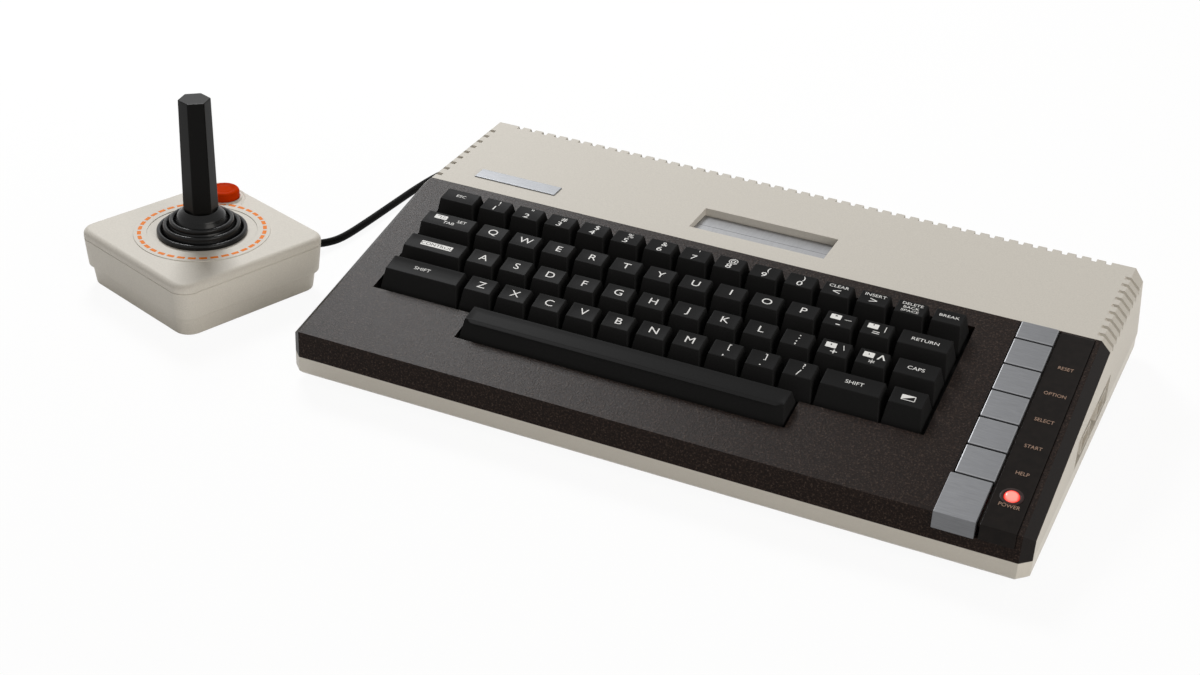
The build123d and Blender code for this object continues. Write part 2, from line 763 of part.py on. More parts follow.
def key_cap(left, right, front_edge, height, tilt):
    """A hollow cap between two sides of its cell, with its stem."""
    foot_left, foot_right = left + key_gap / 2, right - key_gap / 2
    middle = (foot_left + foot_right) / 2
    foot_width = foot_right - foot_left
    foot_depth = key_front_slope + key_top_depth
    foot_middle = front_edge - key_front_slope + foot_depth / 2
    tilt_rad = math.radians(tilt)
    back_rise = key_top_depth * math.sin(tilt_rad)
    top_middle = front_edge + key_top_depth / 2

    def top_plane(drop):
        centre = deck.from_local_coords((middle, top_middle, height + back_rise / 2 - drop))
        tipped = deck_angle + tilt_rad
        return Plane(origin=centre, x_dir=(1, 0, 0), z_dir=(0, -math.sin(tipped), math.cos(tipped)))

    with BuildPart() as cap:
        for inset, drop in ((0, 0), (key_wall, key_wall)):
            with BuildSketch(deck.offset(key_foot)):
                with Locations((middle, foot_middle)):
                    Rectangle(foot_width - 2 * inset, foot_depth - 2 * inset)
            with BuildSketch(top_plane(drop)):
                Rectangle(foot_width - 2 * key_side_slope - 2 * inset, key_top_depth - 2 * inset)
            loft(mode=Mode.SUBTRACT if inset else Mode.ADD)
        with BuildSketch(deck.offset(stem_end)):
            with Locations((middle, top_middle + stem_offset)):
                Circle(stem_radius)
        extrude(amount=height + back_rise / 2 - key_wall / 2 - stem_end)
    return cap.part


def row_cells(row, count):
    """Left and right of each single cap after the row's first cap."""
    return [(row[3] + i * unit, row[3] + (i + 1) * unit) for i in range(count)]


def row_key(row, left, right):
    return key_cap(left, right, row[0], row[1], row[2])


number_cells = row_cells(number_row, number_count)
upper_cells = row_cells(upper_row, upper_count)
home_cells = row_cells(home_row, home_count)
lower_cells = row_cells(lower_row, lower_count)

key_cells = {
    "esc_key": (number_row, [(keys_left, number_row[3])]),
    "number_keys": (number_row, number_cells[:12]),
    "backspace_key": (number_row, [number_cells[12]]),
    "break_key": (number_row, [number_cells[13]]),
    "tab_key": (upper_row, [(keys_left, upper_row[3])]),
    "upper_letter_keys": (upper_row, upper_cells),
    "return_key": (upper_row, [(upper_cells[-1][1], keys_right)]),
    "control_key": (home_row, [(keys_left, home_row[3])]),
    "home_letter_keys": (home_row, home_cells),
    "caps_key": (home_row, [(home_cells[-1][1], keys_right)]),
    "left_shift_key": (lower_row, [(keys_left, lower_row[3])]),
    "lower_letter_keys": (lower_row, lower_cells),
    "right_shift_key": (lower_row, [(lower_cells[-1][1], right_shift_end)]),
    "inverse_key": (lower_row, [(right_shift_end, keys_right)]),
}

switch_places = []
for key_name, (row, cells) in key_cells.items():
    caps = [row_key(row, left, right) for left, right in cells]
    switch_places += [((left + right) / 2, row[0] + key_top_depth / 2 + stem_offset) for left, right in cells]
    group = caps[0] if len(caps) == 1 else Compound(children=caps)
    group.label = key_name
    export_step(group, "parts/" + key_name + ".step")

space_bar = key_cap(
    space_left - key_gap / 2,
    space_right + key_gap / 2,
    space_front_edge,
    space_height,
    space_tilt,
)
space_bar.label = "space_bar"
export_step(space_bar, "parts/space_bar.step")
switch_places.append(((space_left + space_right) / 2, space_front_edge + key_top_depth / 2 + stem_offset))

with BuildPart() as key_plate:
    with BuildSketch(deck.offset(plate_top)):
        with Locations(((plate_left + plate_right) / 2, (plate_front + plate_back) / 2)):
            Rectangle(plate_right - plate_left, plate_back - plate_front)
        with Locations(*switch_places):
            Circle(stem_radius + stem_gap, mode=Mode.SUBTRACT)
    extrude(amount=-plate_thickness)
key_plate.part.label = "key_plate"
export_step(key_plate.part, "parts/key_plate.step")

with BuildPart() as key_switches:
    with BuildSketch(deck.offset(switch_top)):
        with Locations(*switch_places):
            Rectangle(switch_size, switch_size)
            Circle(stem_radius + stem_gap, mode=Mode.SUBTRACT)
    extrude(amount=-switch_height)
key_switches.part.label = "key_switches"
export_step(key_switches.part, "parts/key_switches.step")

with BuildPart() as keyboard_board:
    with BuildSketch(deck.offset(switch_top - switch_height)):
        with Locations(((plate_left + plate_right) / 2, (plate_front + plate_back) / 2 + 2)):
            Rectangle(plate_right - plate_left - 8, plate_back - plate_front - 8)
    extrude(amount=-board_thickness)
keyboard_board.part.label = "keyboard_board"
export_step(keyboard_board.part, "parts/keyboard_board.step")

# ---------------------------------------------------------------- electronics
with BuildPart() as main_board:
    with BuildSketch(Plane.XY.offset(main_board_top)):
        with Locations((0, y_front + (main_board_front + main_board_back) / 2)):
            Rectangle(main_board_right - main_board_left, main_board_back - main_board_front)
    extrude(amount=-board_thickness)
main_board.part.label = "main_board"
export_step(main_board.part, "parts/main_board.step")

shield_middle = (shield_left + shield_right) / 2
with BuildPart() as rf_shield:
    with BuildSketch(Plane.XY.offset(main_board_top)):
        with Locations((shield_middle, y_front + (shield_front + shield_back) / 2)):
            Rectangle(shield_right - shield_left, shield_back - shield_front)
    extrude(amount=shield_top - main_board_top)
    offset(amount=-shield_wall, openings=rf_shield.faces().sort_by(Axis.Z)[0])
    with BuildSketch(Plane.XY.offset(main_board_top)):
        with Locations((0, slot_middle)):
            Rectangle(
                slot_width + 2 * slot_frame_wall + 2 * piece_gap,
                slot_depth + 2 * slot_frame_wall + 2 * piece_gap,
            )
    extrude(amount=2 * shield_top, mode=Mode.SUBTRACT)
    with BuildSketch(Plane.XY.offset(shield_top)):
        for x in (-95.0 * across, 84.0 * across):
            with Locations((x, y_front + (shield_front + shield_back) / 2)):
                with GridLocations(8, 14, 5, 3):
                    Circle(shield_hole_radius)
    extrude(amount=-2 * shield_wall, mode=Mode.SUBTRACT)
rf_shield.part.label = "rf_shield"
export_step(rf_shield.part, "parts/rf_shield.step")

board_under = switch_top - switch_height - board_thickness
ribbon_at = plate_back - 20.0
ribbon_y, ribbon_z = on_deck(ribbon_at, board_under)
chip_length = (shield_back - shield_front - 2 * chip_gap - 4.0) / 2
chip_rows = [
    y_front + shield_front + chip_gap + chip_length / 2,
    y_front + shield_back - chip_gap - chip_length / 2,
]
front_chip_length = 22.0
front_chip_y = ribbon_y + ribbon_reach - 4.5 - front_chip_length / 2
with BuildPart() as board_chips:
    with BuildSketch(Plane.XY.offset(main_board_top)):
        with Locations(*[(x * across, y) for x in (-105, -80, -55, 60, 85) for y in chip_rows]):
            Rectangle(14, chip_length)
        with Locations(*[(x * across, front_chip_y) for x in (-110, -80, -50, -20, 10, 40, 70)]):
            Rectangle(9, front_chip_length)
    extrude(amount=chip_height)
board_chips.part.label = "board_chips"
export_step(board_chips.part, "parts/board_chips.step")

# ---------------------------------------------------------------- rear sockets
panel = Plane(origin=(0, bay_face, 0), x_dir=(-1, 0, 0), z_dir=(0, 1, 0))
din_places = [(118.0 * across, socket_height), (0.0, socket_height)]
serial_place = (60.0 * across, socket_height)
rf_place = (-48.0 * across, socket_height)
channel_place = (-channel_x - channel_offset, socket_height)
with BuildPart() as port_bay:
    add(
        block(
            (bay_outer_left, bay_face - bay_wall, bay_bottom - bay_wall + piece_gap),
            (bay_outer_right, bay_face + slope_run + past, bay_top + bay_wall),
        )
    )
    add(
        block(
            (bay_left, bay_face, bay_bottom),
            (bay_right, bay_face + slope_run + past, bay_top),
        ),
        mode=Mode.SUBTRACT,
    )
    add(outer_block, mode=Mode.INTERSECT)
    with BuildSketch(panel):
        with Locations(*din_places):
            Circle(din_bore_radius + din_shell + piece_gap)
        with Locations(rf_place):
            Circle(rf_flange_radius + piece_gap)
        with Locations(serial_place):
            Rectangle(
                serial_width + 2 * (serial_shell + piece_gap),
                serial_height + 2 * (serial_shell + piece_gap),
            )
        with Locations((-channel_x, socket_height)):
            Rectangle(channel_slot, channel_height + 4 * piece_gap)
        with Locations((-rocker_x, socket_height)):
            Rectangle(rocker_width + 2 * rocker_gap, rocker_opening)
    extrude(amount=-2 * bay_wall, mode=Mode.SUBTRACT)
    # cheeks that carry the rocker's pins
    for side in (-1, 1):
        cheek_x = rocker_x + side * (rocker_width / 2 + rocker_gap + rocker_cheek / 2)
        add(
            block(
                (cheek_x - rocker_cheek / 2, bay_face - rocker_depth, socket_height - rocker_cheek_half),
                (cheek_x + rocker_cheek / 2, bay_face - bay_wall / 2, socket_height + rocker_cheek_half),
            )
        )
    with BuildSketch(Plane.YZ.offset(rocker_x)):
        with Locations((bay_face - rocker_pivot_depth, socket_height)):
            Circle(rocker_pin_radius + pin_gap)
    extrude(amount=rocker_width, both=True, mode=Mode.SUBTRACT)
port_bay.part.label = "port_bay"
export_step(port_bay.part, "parts/port_bay.step")

with BuildPart() as din_sockets:
    with BuildSketch(panel.offset(din_rise)):
        with Locations(*din_places):
            Circle(din_bore_radius + din_shell)
    extrude(amount=-(din_rise + bay_wall + piece_gap))
    with BuildSketch(panel.offset(-bay_wall - piece_gap)):
        with Locations(*din_places):
            Rectangle(2 * din_bore_radius + 4, 2 * din_bore_radius + 4)
    extrude(amount=-connector_body)
    with BuildSketch(panel.offset(din_rise)):
        with Locations(*din_places):
            Circle(din_bore_radius)
    extrude(amount=-din_bore_depth, mode=Mode.SUBTRACT)
din_sockets.part.label = "din_sockets"
export_step(din_sockets.part, "parts/din_sockets.step")

with BuildPart() as serial_connector:
    with BuildSketch(panel.offset(serial_rise)):
        with Locations(serial_place):
            Rectangle(serial_width + 2 * serial_shell, serial_height + 2 * serial_shell)
    extrude(amount=-(serial_rise + bay_wall + connector_body))
    with BuildSketch(panel.offset(-bay_wall - piece_gap)):
        with Locations(serial_place):
            Rectangle(serial_width + 10, serial_height + 8)
    extrude(amount=-connector_body)
    with BuildSketch(panel.offset(serial_rise)):
        with Locations(serial_place):
            Rectangle(serial_width, serial_height)
    extrude(amount=-serial_depth, mode=Mode.SUBTRACT)
serial_connector.part.label = "serial_connector"
export_step(serial_connector.part, "parts/serial_connector.step")

with BuildPart() as rf_socket:
    with BuildSketch(panel.offset(rf_flange_rise)):
        with Locations(rf_place):
            Circle(rf_radius)
    extrude(amount=rf_length)
    with BuildSketch(panel.offset(rf_flange_rise)):
        with Locations(rf_place):
            Circle(rf_flange_radius)
    extrude(amount=-(rf_flange_rise + bay_wall + connector_body))
    with BuildSketch(panel.offset(-bay_wall - piece_gap)):
        with Locations(rf_place):
            Rectangle(12, 14)
    extrude(amount=-connector_body)
    with BuildSketch(panel.offset(rf_flange_rise + rf_length)):
        with Locations(rf_place):
            Circle(rf_bore_radius)
    extrude(amount=-rf_length, mode=Mode.SUBTRACT)
rf_socket.part.label = "rf_socket"
export_step(rf_socket.part, "parts/rf_socket.step")

with BuildPart() as power_switch:
    with BuildSketch(Plane.YZ.offset(rocker_x - rocker_width / 2)):
        with BuildLine():
            Polyline(
                (bay_face - rocker_depth, socket_height - rocker_back_half),
                *[(bay_face + y, socket_height + z) for y, z in rocker_face],
                (bay_face - rocker_depth, socket_height + rocker_back_half),
                close=True,
            )
        make_face()
    extrude(amount=rocker_width)
    with BuildSketch(Plane.YZ.offset(rocker_x)):
        with Locations((bay_face - rocker_pivot_depth, socket_height)):
            Circle(rocker_pin_radius)
    extrude(amount=rocker_width / 2 + rocker_cheek, both=True)
power_switch.part.label = "power_switch"
export_step(power_switch.part, "parts/power_switch.step")

with BuildPart() as channel_switch:
    with BuildSketch(panel.offset(channel_rise)):
        with Locations(channel_place):
            Rectangle(channel_knob, channel_height)
    extrude(amount=-(channel_rise + bay_wall + 2))
    with BuildSketch(panel.offset(-bay_wall - pin_end_gap)):
        with Locations(channel_place):
            Rectangle(channel_knob + 3, channel_height + 2.4)
    extrude(amount=-1.5)
channel_switch.part.label = "channel_switch"
export_step(channel_switch.part, "parts/channel_switch.step")

# ---------------------------------------------------------------- controller ports
with BuildPart() as controller_ports:
    for y in port_places:
        with BuildSketch(side_face.offset(-port_depth)):
            with Locations((y, port_middle_z)):
                Rectangle(port_flange_width, port_flange_height)
        extrude(amount=port_flange)
        with BuildSketch(side_face.offset(-port_depth)):
            with Locations((y, port_middle_z)):
                Rectangle(port_body_width, port_body_height)
        extrude(amount=-port_body_depth)
        with BuildSketch(side_face.offset(-port_depth)):
            with Locations((y, port_middle_z)):
                Rectangle(port_shell_width, port_shell_height)
        extrude(amount=port_depth)
        with BuildSketch(side_face):
            with Locations((y, port_middle_z)):
                Rectangle(port_shell_width - 2 * port_shell_wall, port_shell_height - 2 * port_shell_wall)
        extrude(amount=-(port_depth + 2), mode=Mode.SUBTRACT)
controller_ports.part.label = "controller_ports"
export_step(controller_ports.part, "parts/controller_ports.step")

# ---------------------------------------------------------------- joystick body


def tapered_box(plane, width, corner, height, draft):
    """A square block with round corners whose sides lean out by a draft angle."""
    with BuildPart() as tapered:
        with BuildSketch(plane):
            RectangleRounded(width, width, corner)
        extrude(amount=height, taper=-draft)
    return tapered.part


base_outer = tapered_box(joystick, base_width, lid_corner, base_height, base_draft)
base_inner = tapered_box(
    joystick.offset(lid_wall),
    base_width - 2 * lid_wall,
    lid_corner - lid_wall,
    base_height,
    base_draft,
)
base_back = joystick.from_local_coords((0, base_width / 2, lead_exit_height))
with BuildPart() as joystick_base:
    add(base_outer)
    add(base_inner, mode=Mode.SUBTRACT)
    with BuildSketch(joystick.offset(lid_wall / 2)):
        with GridLocations(base_width - 33.5, base_width - 33.5, 2, 2):
            Circle(boss_radius)
    extrude(amount=lid_wall / 2 + board_stand)
    with BuildSketch(Plane(origin=base_back, x_dir=joystick.x_dir, z_dir=joystick.y_dir)):
        Circle(relief_radius)
    extrude(amount=3 * lid_wall, both=True, mode=Mode.SUBTRACT)
joystick_base.part.label = "joystick_base"
export_step(joystick_base.part, "parts/joystick_base.step")

lid_plane = joystick.offset(base_height)
pivot_point = joystick.from_local_coords((0, 0, pivot_height))
cap_width = lid_width + 2 * lid_skirt * math.tan(math.radians(lid_draft))
skirt_outer = tapered_box(lid_plane, lid_width, lid_corner, lid_skirt, lid_draft)
skirt_inner = tapered_box(lid_plane, lid_width - 2 * lid_wall, lid_corner - lid_wall, lid_skirt, lid_draft)
with BuildPart() as joystick_lid:
    with BuildSketch(lid_plane.offset(lid_skirt)):
        RectangleRounded(cap_width, cap_width, lid_corner)
    extrude(amount=lid_cap)
    fillet(joystick_lid.faces().sort_by(Axis.Z)[-1].edges(), lid_fillet)
    add(skirt_outer)
    add(skirt_inner, mode=Mode.SUBTRACT)
    with BuildSketch(lid_plane.offset(lid_skirt)):
        RectangleRounded(cap_width - 2 * lid_wall, cap_width - 2 * lid_wall, lid_corner - lid_wall)
    extrude(amount=lid_cap - lid_wall, mode=Mode.SUBTRACT)
    # collars that the actuator ring rocks in and that the fire button slides in
    with BuildSketch(joystick.offset(pivot_height - collar_wall)):
        Circle(ring_radius + ring_gap + collar_wall)
    extrude(amount=lid_top - lid_wall / 2 - pivot_height + collar_wall)
    with BuildSketch(joystick.offset(pivot_height - collar_wall)):
        with Locations((fire_x, fire_y)):
            Circle(fire_radius + fire_gap + fire_rim)
    extrude(amount=lid_top + fire_rim_rise - pivot_height + collar_wall)
    with BuildSketch(joystick.offset(pivot_height - collar_wall)):
        Circle(ring_radius + ring_gap)
        with Locations((fire_x, fire_y)):
            Circle(fire_radius + fire_gap)
    extrude(amount=past, mode=Mode.SUBTRACT)
    with BuildSketch(Plane(origin=pivot_point, x_dir=joystick.y_dir, z_dir=joystick.x_dir)):
        Circle(gimbal_pin_radius + pin_gap)
    extrude(amount=ring_radius + ring_gap + collar_wall, both=True, mode=Mode.SUBTRACT)
joystick_lid.part.label = "joystick_lid"
export_step(joystick_lid.part, "parts/joystick_lid.step")

# bellows: a flange on the lid, then rings that step up to a collar round the stick
boot_rings = [(24.0 - 3.4 * i, lid_top + 2.8 + 3.1 * i) for i in range(4)]
boot_top = lid_top + boot_height
with BuildPart() as stick_boot:
    with BuildSketch(Plane(origin=joystick.origin, x_dir=joystick.x_dir, z_dir=-joystick.y_dir)):
        with BuildLine():
            outline = [(boot_rings[0][0] + 0.4, lid_top)]
            for radius, height in boot_rings:
                outline += [(radius + 0.4, height - 0.9), (radius - 0.8, height)]
                outline += [(radius - 2.2, height - 0.6)]
            outline += [(10.6, boot_top - 2.4), (10.0, boot_top)]
            outline += [(boot_inner_radius, boot_top), (boot_inner_radius, boot_top - 3.6)]
            for radius, height in boot_rings[::-1]:
                outline += [(radius - 2.6, height - 0.6 - boot_wall)]
                outline += [(radius - 1.2, height - 1.2 - boot_wall)]
            outline += [(boot_rings[0][0] - 1.4, lid_top)]
            Polyline(*outline, close=True)
        make_face()
    revolve(axis=Axis(joystick.origin, joystick.z_dir))
stick_boot.part.label = "stick_boot"
export_step(stick_boot.part, "parts/stick_boot.step")

stick_board_top = lid_wall + board_stand + board_thickness
dome_top = stick_board_top + dome_height
stick_foot = dome_top + dome_circle * math.sin(math.radians(stick_tilt)) + tact_gap
with BuildPart() as joystick_stick:
    with BuildSketch(joystick.offset(stick_foot)):
        Circle(stick_foot_radius)
    extrude(amount=stick_foot_height)
    with BuildSketch(joystick.offset(stick_foot)):
        Circle(stick_shaft_radius)
    extrude(amount=boot_top - stick_foot)
    with Locations(joystick.offset(pivot_height).location):
        Sphere(ball_radius)
    with BuildSketch(Plane(origin=pivot_point, x_dir=joystick.x_dir, z_dir=joystick.y_dir)):
        Circle(gimbal_pin_radius)
    extrude(amount=ring_radius - pin_end_gap, both=True)
    with BuildSketch(joystick.offset(boot_top - boot_neck)):
        Circle(stick_neck_radius)
    extrude(amount=boot_neck + piece_gap)
    with BuildSketch(joystick.offset(boot_top + piece_gap)):
        RegularPolygon(radius=stick_hex_bottom, side_count=6)
    with BuildSketch(joystick.offset(stick_top)):
        RegularPolygon(radius=stick_hex_top, side_count=6)
    loft()
    chamfer(joystick_stick.faces().sort_by(Axis.Z)[-1].edges(), 0.6)
joystick_stick.part.label = "joystick_stick"
export_step(joystick_stick.part, "parts/joystick_stick.step")

with BuildPart() as actuator_ring:
    with BuildSketch(joystick.offset(pivot_height - ring_height / 2)):
        Circle(ring_radius)
    extrude(amount=ring_height)
    with BuildSketch(Plane(origin=pivot_point, x_dir=joystick.y_dir, z_dir=joystick.x_dir)):
        Circle(gimbal_pin_radius)
    extrude(amount=ring_radius + ring_gap + collar_wall - pin_end_gap, both=True)
    with BuildSketch(joystick.offset(pivot_height - ring_height)):
        Circle(ball_radius + ball_gap)
    extrude(amount=2 * ring_height, mode=Mode.SUBTRACT)
    with BuildSketch(Plane(origin=pivot_point, x_dir=joystick.x_dir, z_dir=joystick.y_dir)):
        Circle(gimbal_pin_radius + pin_gap)
    extrude(amount=2 * ring_radius, both=True, mode=Mode.SUBTRACT)
actuator_ring.part.label = "actuator_ring"
export_step(actuator_ring.part, "parts/actuator_ring.step")

fire_bottom = lid_top - fire_skirt
with BuildPart() as fire_button:
    with BuildSketch(joystick.offset(fire_bottom)):
        with Locations((fire_x, fire_y)):
            Circle(fire_radius)
    extrude(amount=fire_skirt + fire_rise)
    fillet(fire_button.faces().sort_by(Axis.Z)[-1].edges(), fire_fillet)
    with BuildSketch(joystick.offset(fire_bottom)):
        with Locations((fire_x, fire_y)):
            Circle(fire_stem_radius)
    extrude(amount=dome_top + tact_gap + fire_travel - fire_bottom)
fire_button.part.label = "fire_button"
export_step(fire_button.part, "parts/fire_button.step")

with BuildPart() as joystick_board:
    with BuildSketch(joystick.offset(lid_wall + board_stand)):
        Rectangle(base_width - 21.5, base_width - 13.5)
    extrude(amount=board_thickness)
    with BuildSketch(joystick.offset(stick_board_top)):
        with PolarLocations(dome_circle, 4):
            Circle(dome_radius)
        with Locations((fire_x, fire_y)):
            Circle(dome_radius)
    extrude(amount=dome_height)
joystick_board.part.label = "joystick_board"
export_step(joystick_board.part, "parts/joystick_board.step")

# ---------------------------------------------------------------- lead of the joystick
exit_point = joystick.from_local_coords((0, base_width / 2 + relief_outside, lead_exit_height))
exit_plane = Plane(origin=exit_point, x_dir=joystick.x_dir, z_dir=joystick.y_dir)
with BuildPart() as lead_strain_relief:
    with BuildSketch(exit_plane):
        Circle(lead_radius + 2 * piece_gap)
    with BuildSketch(exit_plane.offset(lid_wall - relief_length)):
        Circle(relief_radius)
    loft()
    with BuildSketch(exit_plane.offset(lid_wall - relief_length)):
        Circle(relief_radius)
    extrude(amount=-lid_wall)
lead_strain_relief.part.label = "lead_strain_relief"
export_step(lead_strain_relief.part, "parts/lead_strain_relief.step")

lead_rest = lead_radius + 0.1
coil_radius, coil_tube = 26.0, 6.5
coil_centre = (-120.0, y_back + 40.0)
plug_length, plug_width, plug_height, plug_corner = 30.0, 34.0, 15.0, 3.0
shroud_width, shroud_height, shroud_length, shroud_wall = 18.0, 9.4, 6.0, 0.9
lead_points = [
    (exit_point.X, exit_point.Y, exit_point.Z),
    (-261.5, y_front + 127.5, 5.2),
    (-251.5, y_front + 141.0, 2.6),
    (-248.0, y_front + 162.0, lead_rest),
    (-245.8, y_front + 196.0, lead_rest),
    (-242.2, y_front + 228.0, lead_rest),
    (-238.0, y_back + 9.0, lead_rest),
    (-226.0, y_back + 28.0, lead_rest),
    (-205.0, y_back + 39.0, lead_rest),
    (-180.0, y_back + 43.0, lead_rest),
    (-158.0, y_back + 48.0, lead_rest + 0.6),
    (-141.0, y_back + 55.5, 4.6),
]
bend_radii = []
for a, b, c in zip(lead_points, lead_points[1:], lead_points[2:]):
    first, second = Vector(*b) - Vector(*a), Vector(*c) - Vector(*b)
    half_turn = math.radians(first.get_angle(second)) / 2
    bend_radii.append(0.45 * min(first.length, second.length) / math.tan(half_turn))
print("lead bend radii", [round(r, 1) for r in bend_radii])
with BuildPart() as joystick_lead:
    with BuildLine() as lead_path:
        FilletPolyline(*lead_points, radius=bend_radii)
    with BuildSketch(Plane(origin=lead_path.line @ 0, z_dir=lead_path.line % 0)):
        Circle(lead_radius)
    sweep()
lead_length = lead_path.wires()[0].length
lead_volume = math.pi * lead_radius**2 * lead_length
print("lead length", round(lead_length, 1), "volume ratio", round(joystick_lead.part.volume / lead_volume, 4))
joystick_lead.part.label = "joystick_lead"
export_step(joystick_lead.part, "parts/joystick_lead.step")

with BuildPart() as lead_coil:
    with BuildSketch(Plane(origin=(*coil_centre, 0), x_dir=(1, 0, 0), z_dir=(0, -1, 0))):
        with Locations((coil_radius, coil_tube)):
            Circle(coil_tube)
    revolve(axis=Axis((*coil_centre, 0), (0, 0, 1)))
lead_coil.part.label = "lead_coil"
export_step(lead_coil.part, "parts/lead_coil.step")

plug_gap, plug_offset = 11.0, 6.0
plug_start = coil_centre[0] + coil_radius + coil_tube + plug_gap
plug_plane = Plane(
    origin=(plug_start, coil_centre[1] + plug_offset, plug_height / 2),
    x_dir=(0, 1, 0),
    z_dir=(1, 0, 0),
)
with BuildPart() as lead_plug:
    with BuildSketch(plug_plane):
        RectangleRounded(plug_width, plug_height, plug_corner)
    extrude(amount=plug_length)
    with BuildSketch(plug_plane.offset(plug_length)):
        Rectangle(shroud_width, shroud_height)
    extrude(amount=shroud_length)
    with BuildSketch(plug_plane.offset(plug_length + shroud_length)):
        Rectangle(shroud_width - 2 * shroud_wall, shroud_height - 2 * shroud_wall)
    extrude(amount=shroud_wall - shroud_length, mode=Mode.SUBTRACT)
    with BuildSketch(plug_plane):
        Circle(relief_radius)
    extrude(amount=-(plug_gap + 2.5))
lead_plug.part.label = "lead_plug"
export_step(lead_plug.part, "parts/lead_plug.step")

with BuildPart() as keyboard_ribbon:
    with BuildSketch(Plane.YZ.offset(ribbon_left)):
        with BuildLine():
            ribbon_path = Polyline(
                (ribbon_y, ribbon_z),
                (ribbon_y + 1.5, ribbon_z - 8.0),
                (ribbon_y + 10.0, main_board_top + 6.0),
                (ribbon_y + ribbon_reach, main_board_top),
            )
            offset(amount=ribbon_thickness / 2, side=Side.BOTH)
        make_face()
    extrude(amount=ribbon_width)
    add(keyboard_board.part, mode=Mode.SUBTRACT)
    add(main_board.part, mode=Mode.SUBTRACT)
keyboard_ribbon.part.label = "keyboard_ribbon"
export_step(keyboard_ribbon.part, "parts/keyboard_ribbon.step")
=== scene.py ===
import json
import math

import bpy
from mathutils import Euler, Matrix, Vector


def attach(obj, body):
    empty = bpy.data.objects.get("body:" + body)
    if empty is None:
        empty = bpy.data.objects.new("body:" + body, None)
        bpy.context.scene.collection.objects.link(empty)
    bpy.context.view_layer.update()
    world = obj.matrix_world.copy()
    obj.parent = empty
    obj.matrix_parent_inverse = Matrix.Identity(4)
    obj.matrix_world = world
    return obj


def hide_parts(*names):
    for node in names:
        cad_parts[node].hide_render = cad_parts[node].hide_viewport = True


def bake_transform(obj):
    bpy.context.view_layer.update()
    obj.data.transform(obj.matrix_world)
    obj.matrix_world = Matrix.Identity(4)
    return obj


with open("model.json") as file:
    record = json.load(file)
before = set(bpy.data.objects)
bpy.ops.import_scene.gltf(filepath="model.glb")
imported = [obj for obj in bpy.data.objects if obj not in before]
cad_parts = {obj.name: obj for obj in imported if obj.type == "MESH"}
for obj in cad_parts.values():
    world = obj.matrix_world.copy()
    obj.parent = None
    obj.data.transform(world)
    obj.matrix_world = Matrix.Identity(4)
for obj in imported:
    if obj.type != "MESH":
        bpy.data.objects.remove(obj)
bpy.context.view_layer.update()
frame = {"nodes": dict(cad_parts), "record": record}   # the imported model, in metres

nodes = frame["nodes"]
mm = 0.001
tiny = 1e-6   # places nearer than this are the same
mainFace = 40 * mm * mm   # larger faces are no part of a bevel
scene = bpy.context.scene


def metres(sizes):
    # takes sizes in mm: one, a tuple or a dictionary of them
    if isinstance(sizes, dict):
        return {name: metres(size) for name, size in sizes.items()}
    if isinstance(sizes, tuple):
        return tuple(metres(size) for size in sizes)
    return sizes * mm


def clearSelection():
    if bpy.context.object and bpy.context.object.mode != "OBJECT":
        bpy.ops.object.mode_set(mode="OBJECT")
    bpy.ops.object.select_all(action="DESELECT")


def makeActive(obj):
    clearSelection()
    obj.select_set(True)
    bpy.context.view_layer.objects.active = obj


def pick(obj, kind, test=lambda item: True):
    makeActive(obj)
    mesh = obj.data
    for group in (mesh.vertices, mesh.edges, mesh.polygons):
        group.foreach_set("select", [False] * len(group))
    group = {"FACE": mesh.polygons, "EDGE": mesh.edges, "VERT": mesh.vertices}[kind]
    for item in group:
        item.select = bool(test(item))
    bpy.ops.object.mode_set(mode="EDIT")
    bpy.ops.mesh.select_mode(type=kind)


def leaveEdit():
    bpy.ops.object.mode_set(mode="OBJECT")


def faceOutward():
    bpy.ops.mesh.select_all(action="SELECT")
    bpy.ops.mesh.normals_make_consistent(inside=False)
    leaveEdit()


def extrude(move):
    bpy.ops.mesh.extrude_region_move(TRANSFORM_OT_translate={"value": move})


def edgeMiddle(obj, edge):
    return (obj.data.vertices[edge.vertices[0]].co + obj.data.vertices[edge.vertices[1]].co) / 2


def edgeSpan(obj, edge):
    return obj.data.vertices[edge.vertices[0]].co - obj.data.vertices[edge.vertices[1]].co


def applyPlace(obj):
    makeActive(obj)
    bpy.ops.object.transform_apply(location=True, rotation=True, scale=True)
    return obj


def setOn(place, obj):
    obj.matrix_world = place @ obj.matrix_world
    return applyPlace(obj)


def turned(degrees, axis):
    return Matrix.Rotation(math.radians(degrees), 4, axis)


def addObject(name, data):
    obj = bpy.data.objects.new(name, data)
    scene.collection.objects.link(obj)
    return obj


def nameNew(name):
    bpy.context.object.name = name
    return applyPlace(bpy.context.object)


def addBlock(name, low, high):
    clearSelection()
    low, high = Vector(low), Vector(high)
    bpy.ops.mesh.primitive_cube_add(size=1, location=(low + high) / 2, scale=high - low)
    return nameNew(name)


def addPlane(name, middle, width, depth):
    clearSelection()
    bpy.ops.mesh.primitive_plane_add(size=1, location=middle)
    bpy.context.object.scale = (width, depth, 1)
    return nameNew(name)


def addDisc(name, middle, radius, sides):
    clearSelection()
    bpy.ops.mesh.primitive_circle_add(
        vertices=sides, radius=radius, location=middle, fill_type="NGON"
    )
    return nameNew(name)


def addPillar(name, foot, top, radius, sides=48):
    pillar = addDisc(name, foot, radius, sides)
    pick(pillar, "FACE")
    extrude((0, 0, top - foot[2]))
    faceOutward()
    return pillar


def bevelRing(obj, height, width, segments):
    # the level edges at one height
    pick(
        obj,
        "EDGE",
        lambda e: abs(edgeMiddle(obj, e).z - height) < tiny and abs(edgeSpan(obj, e).z) < tiny,
    )
    bpy.ops.mesh.bevel(offset=width, segments=segments)
    leaveEdit()


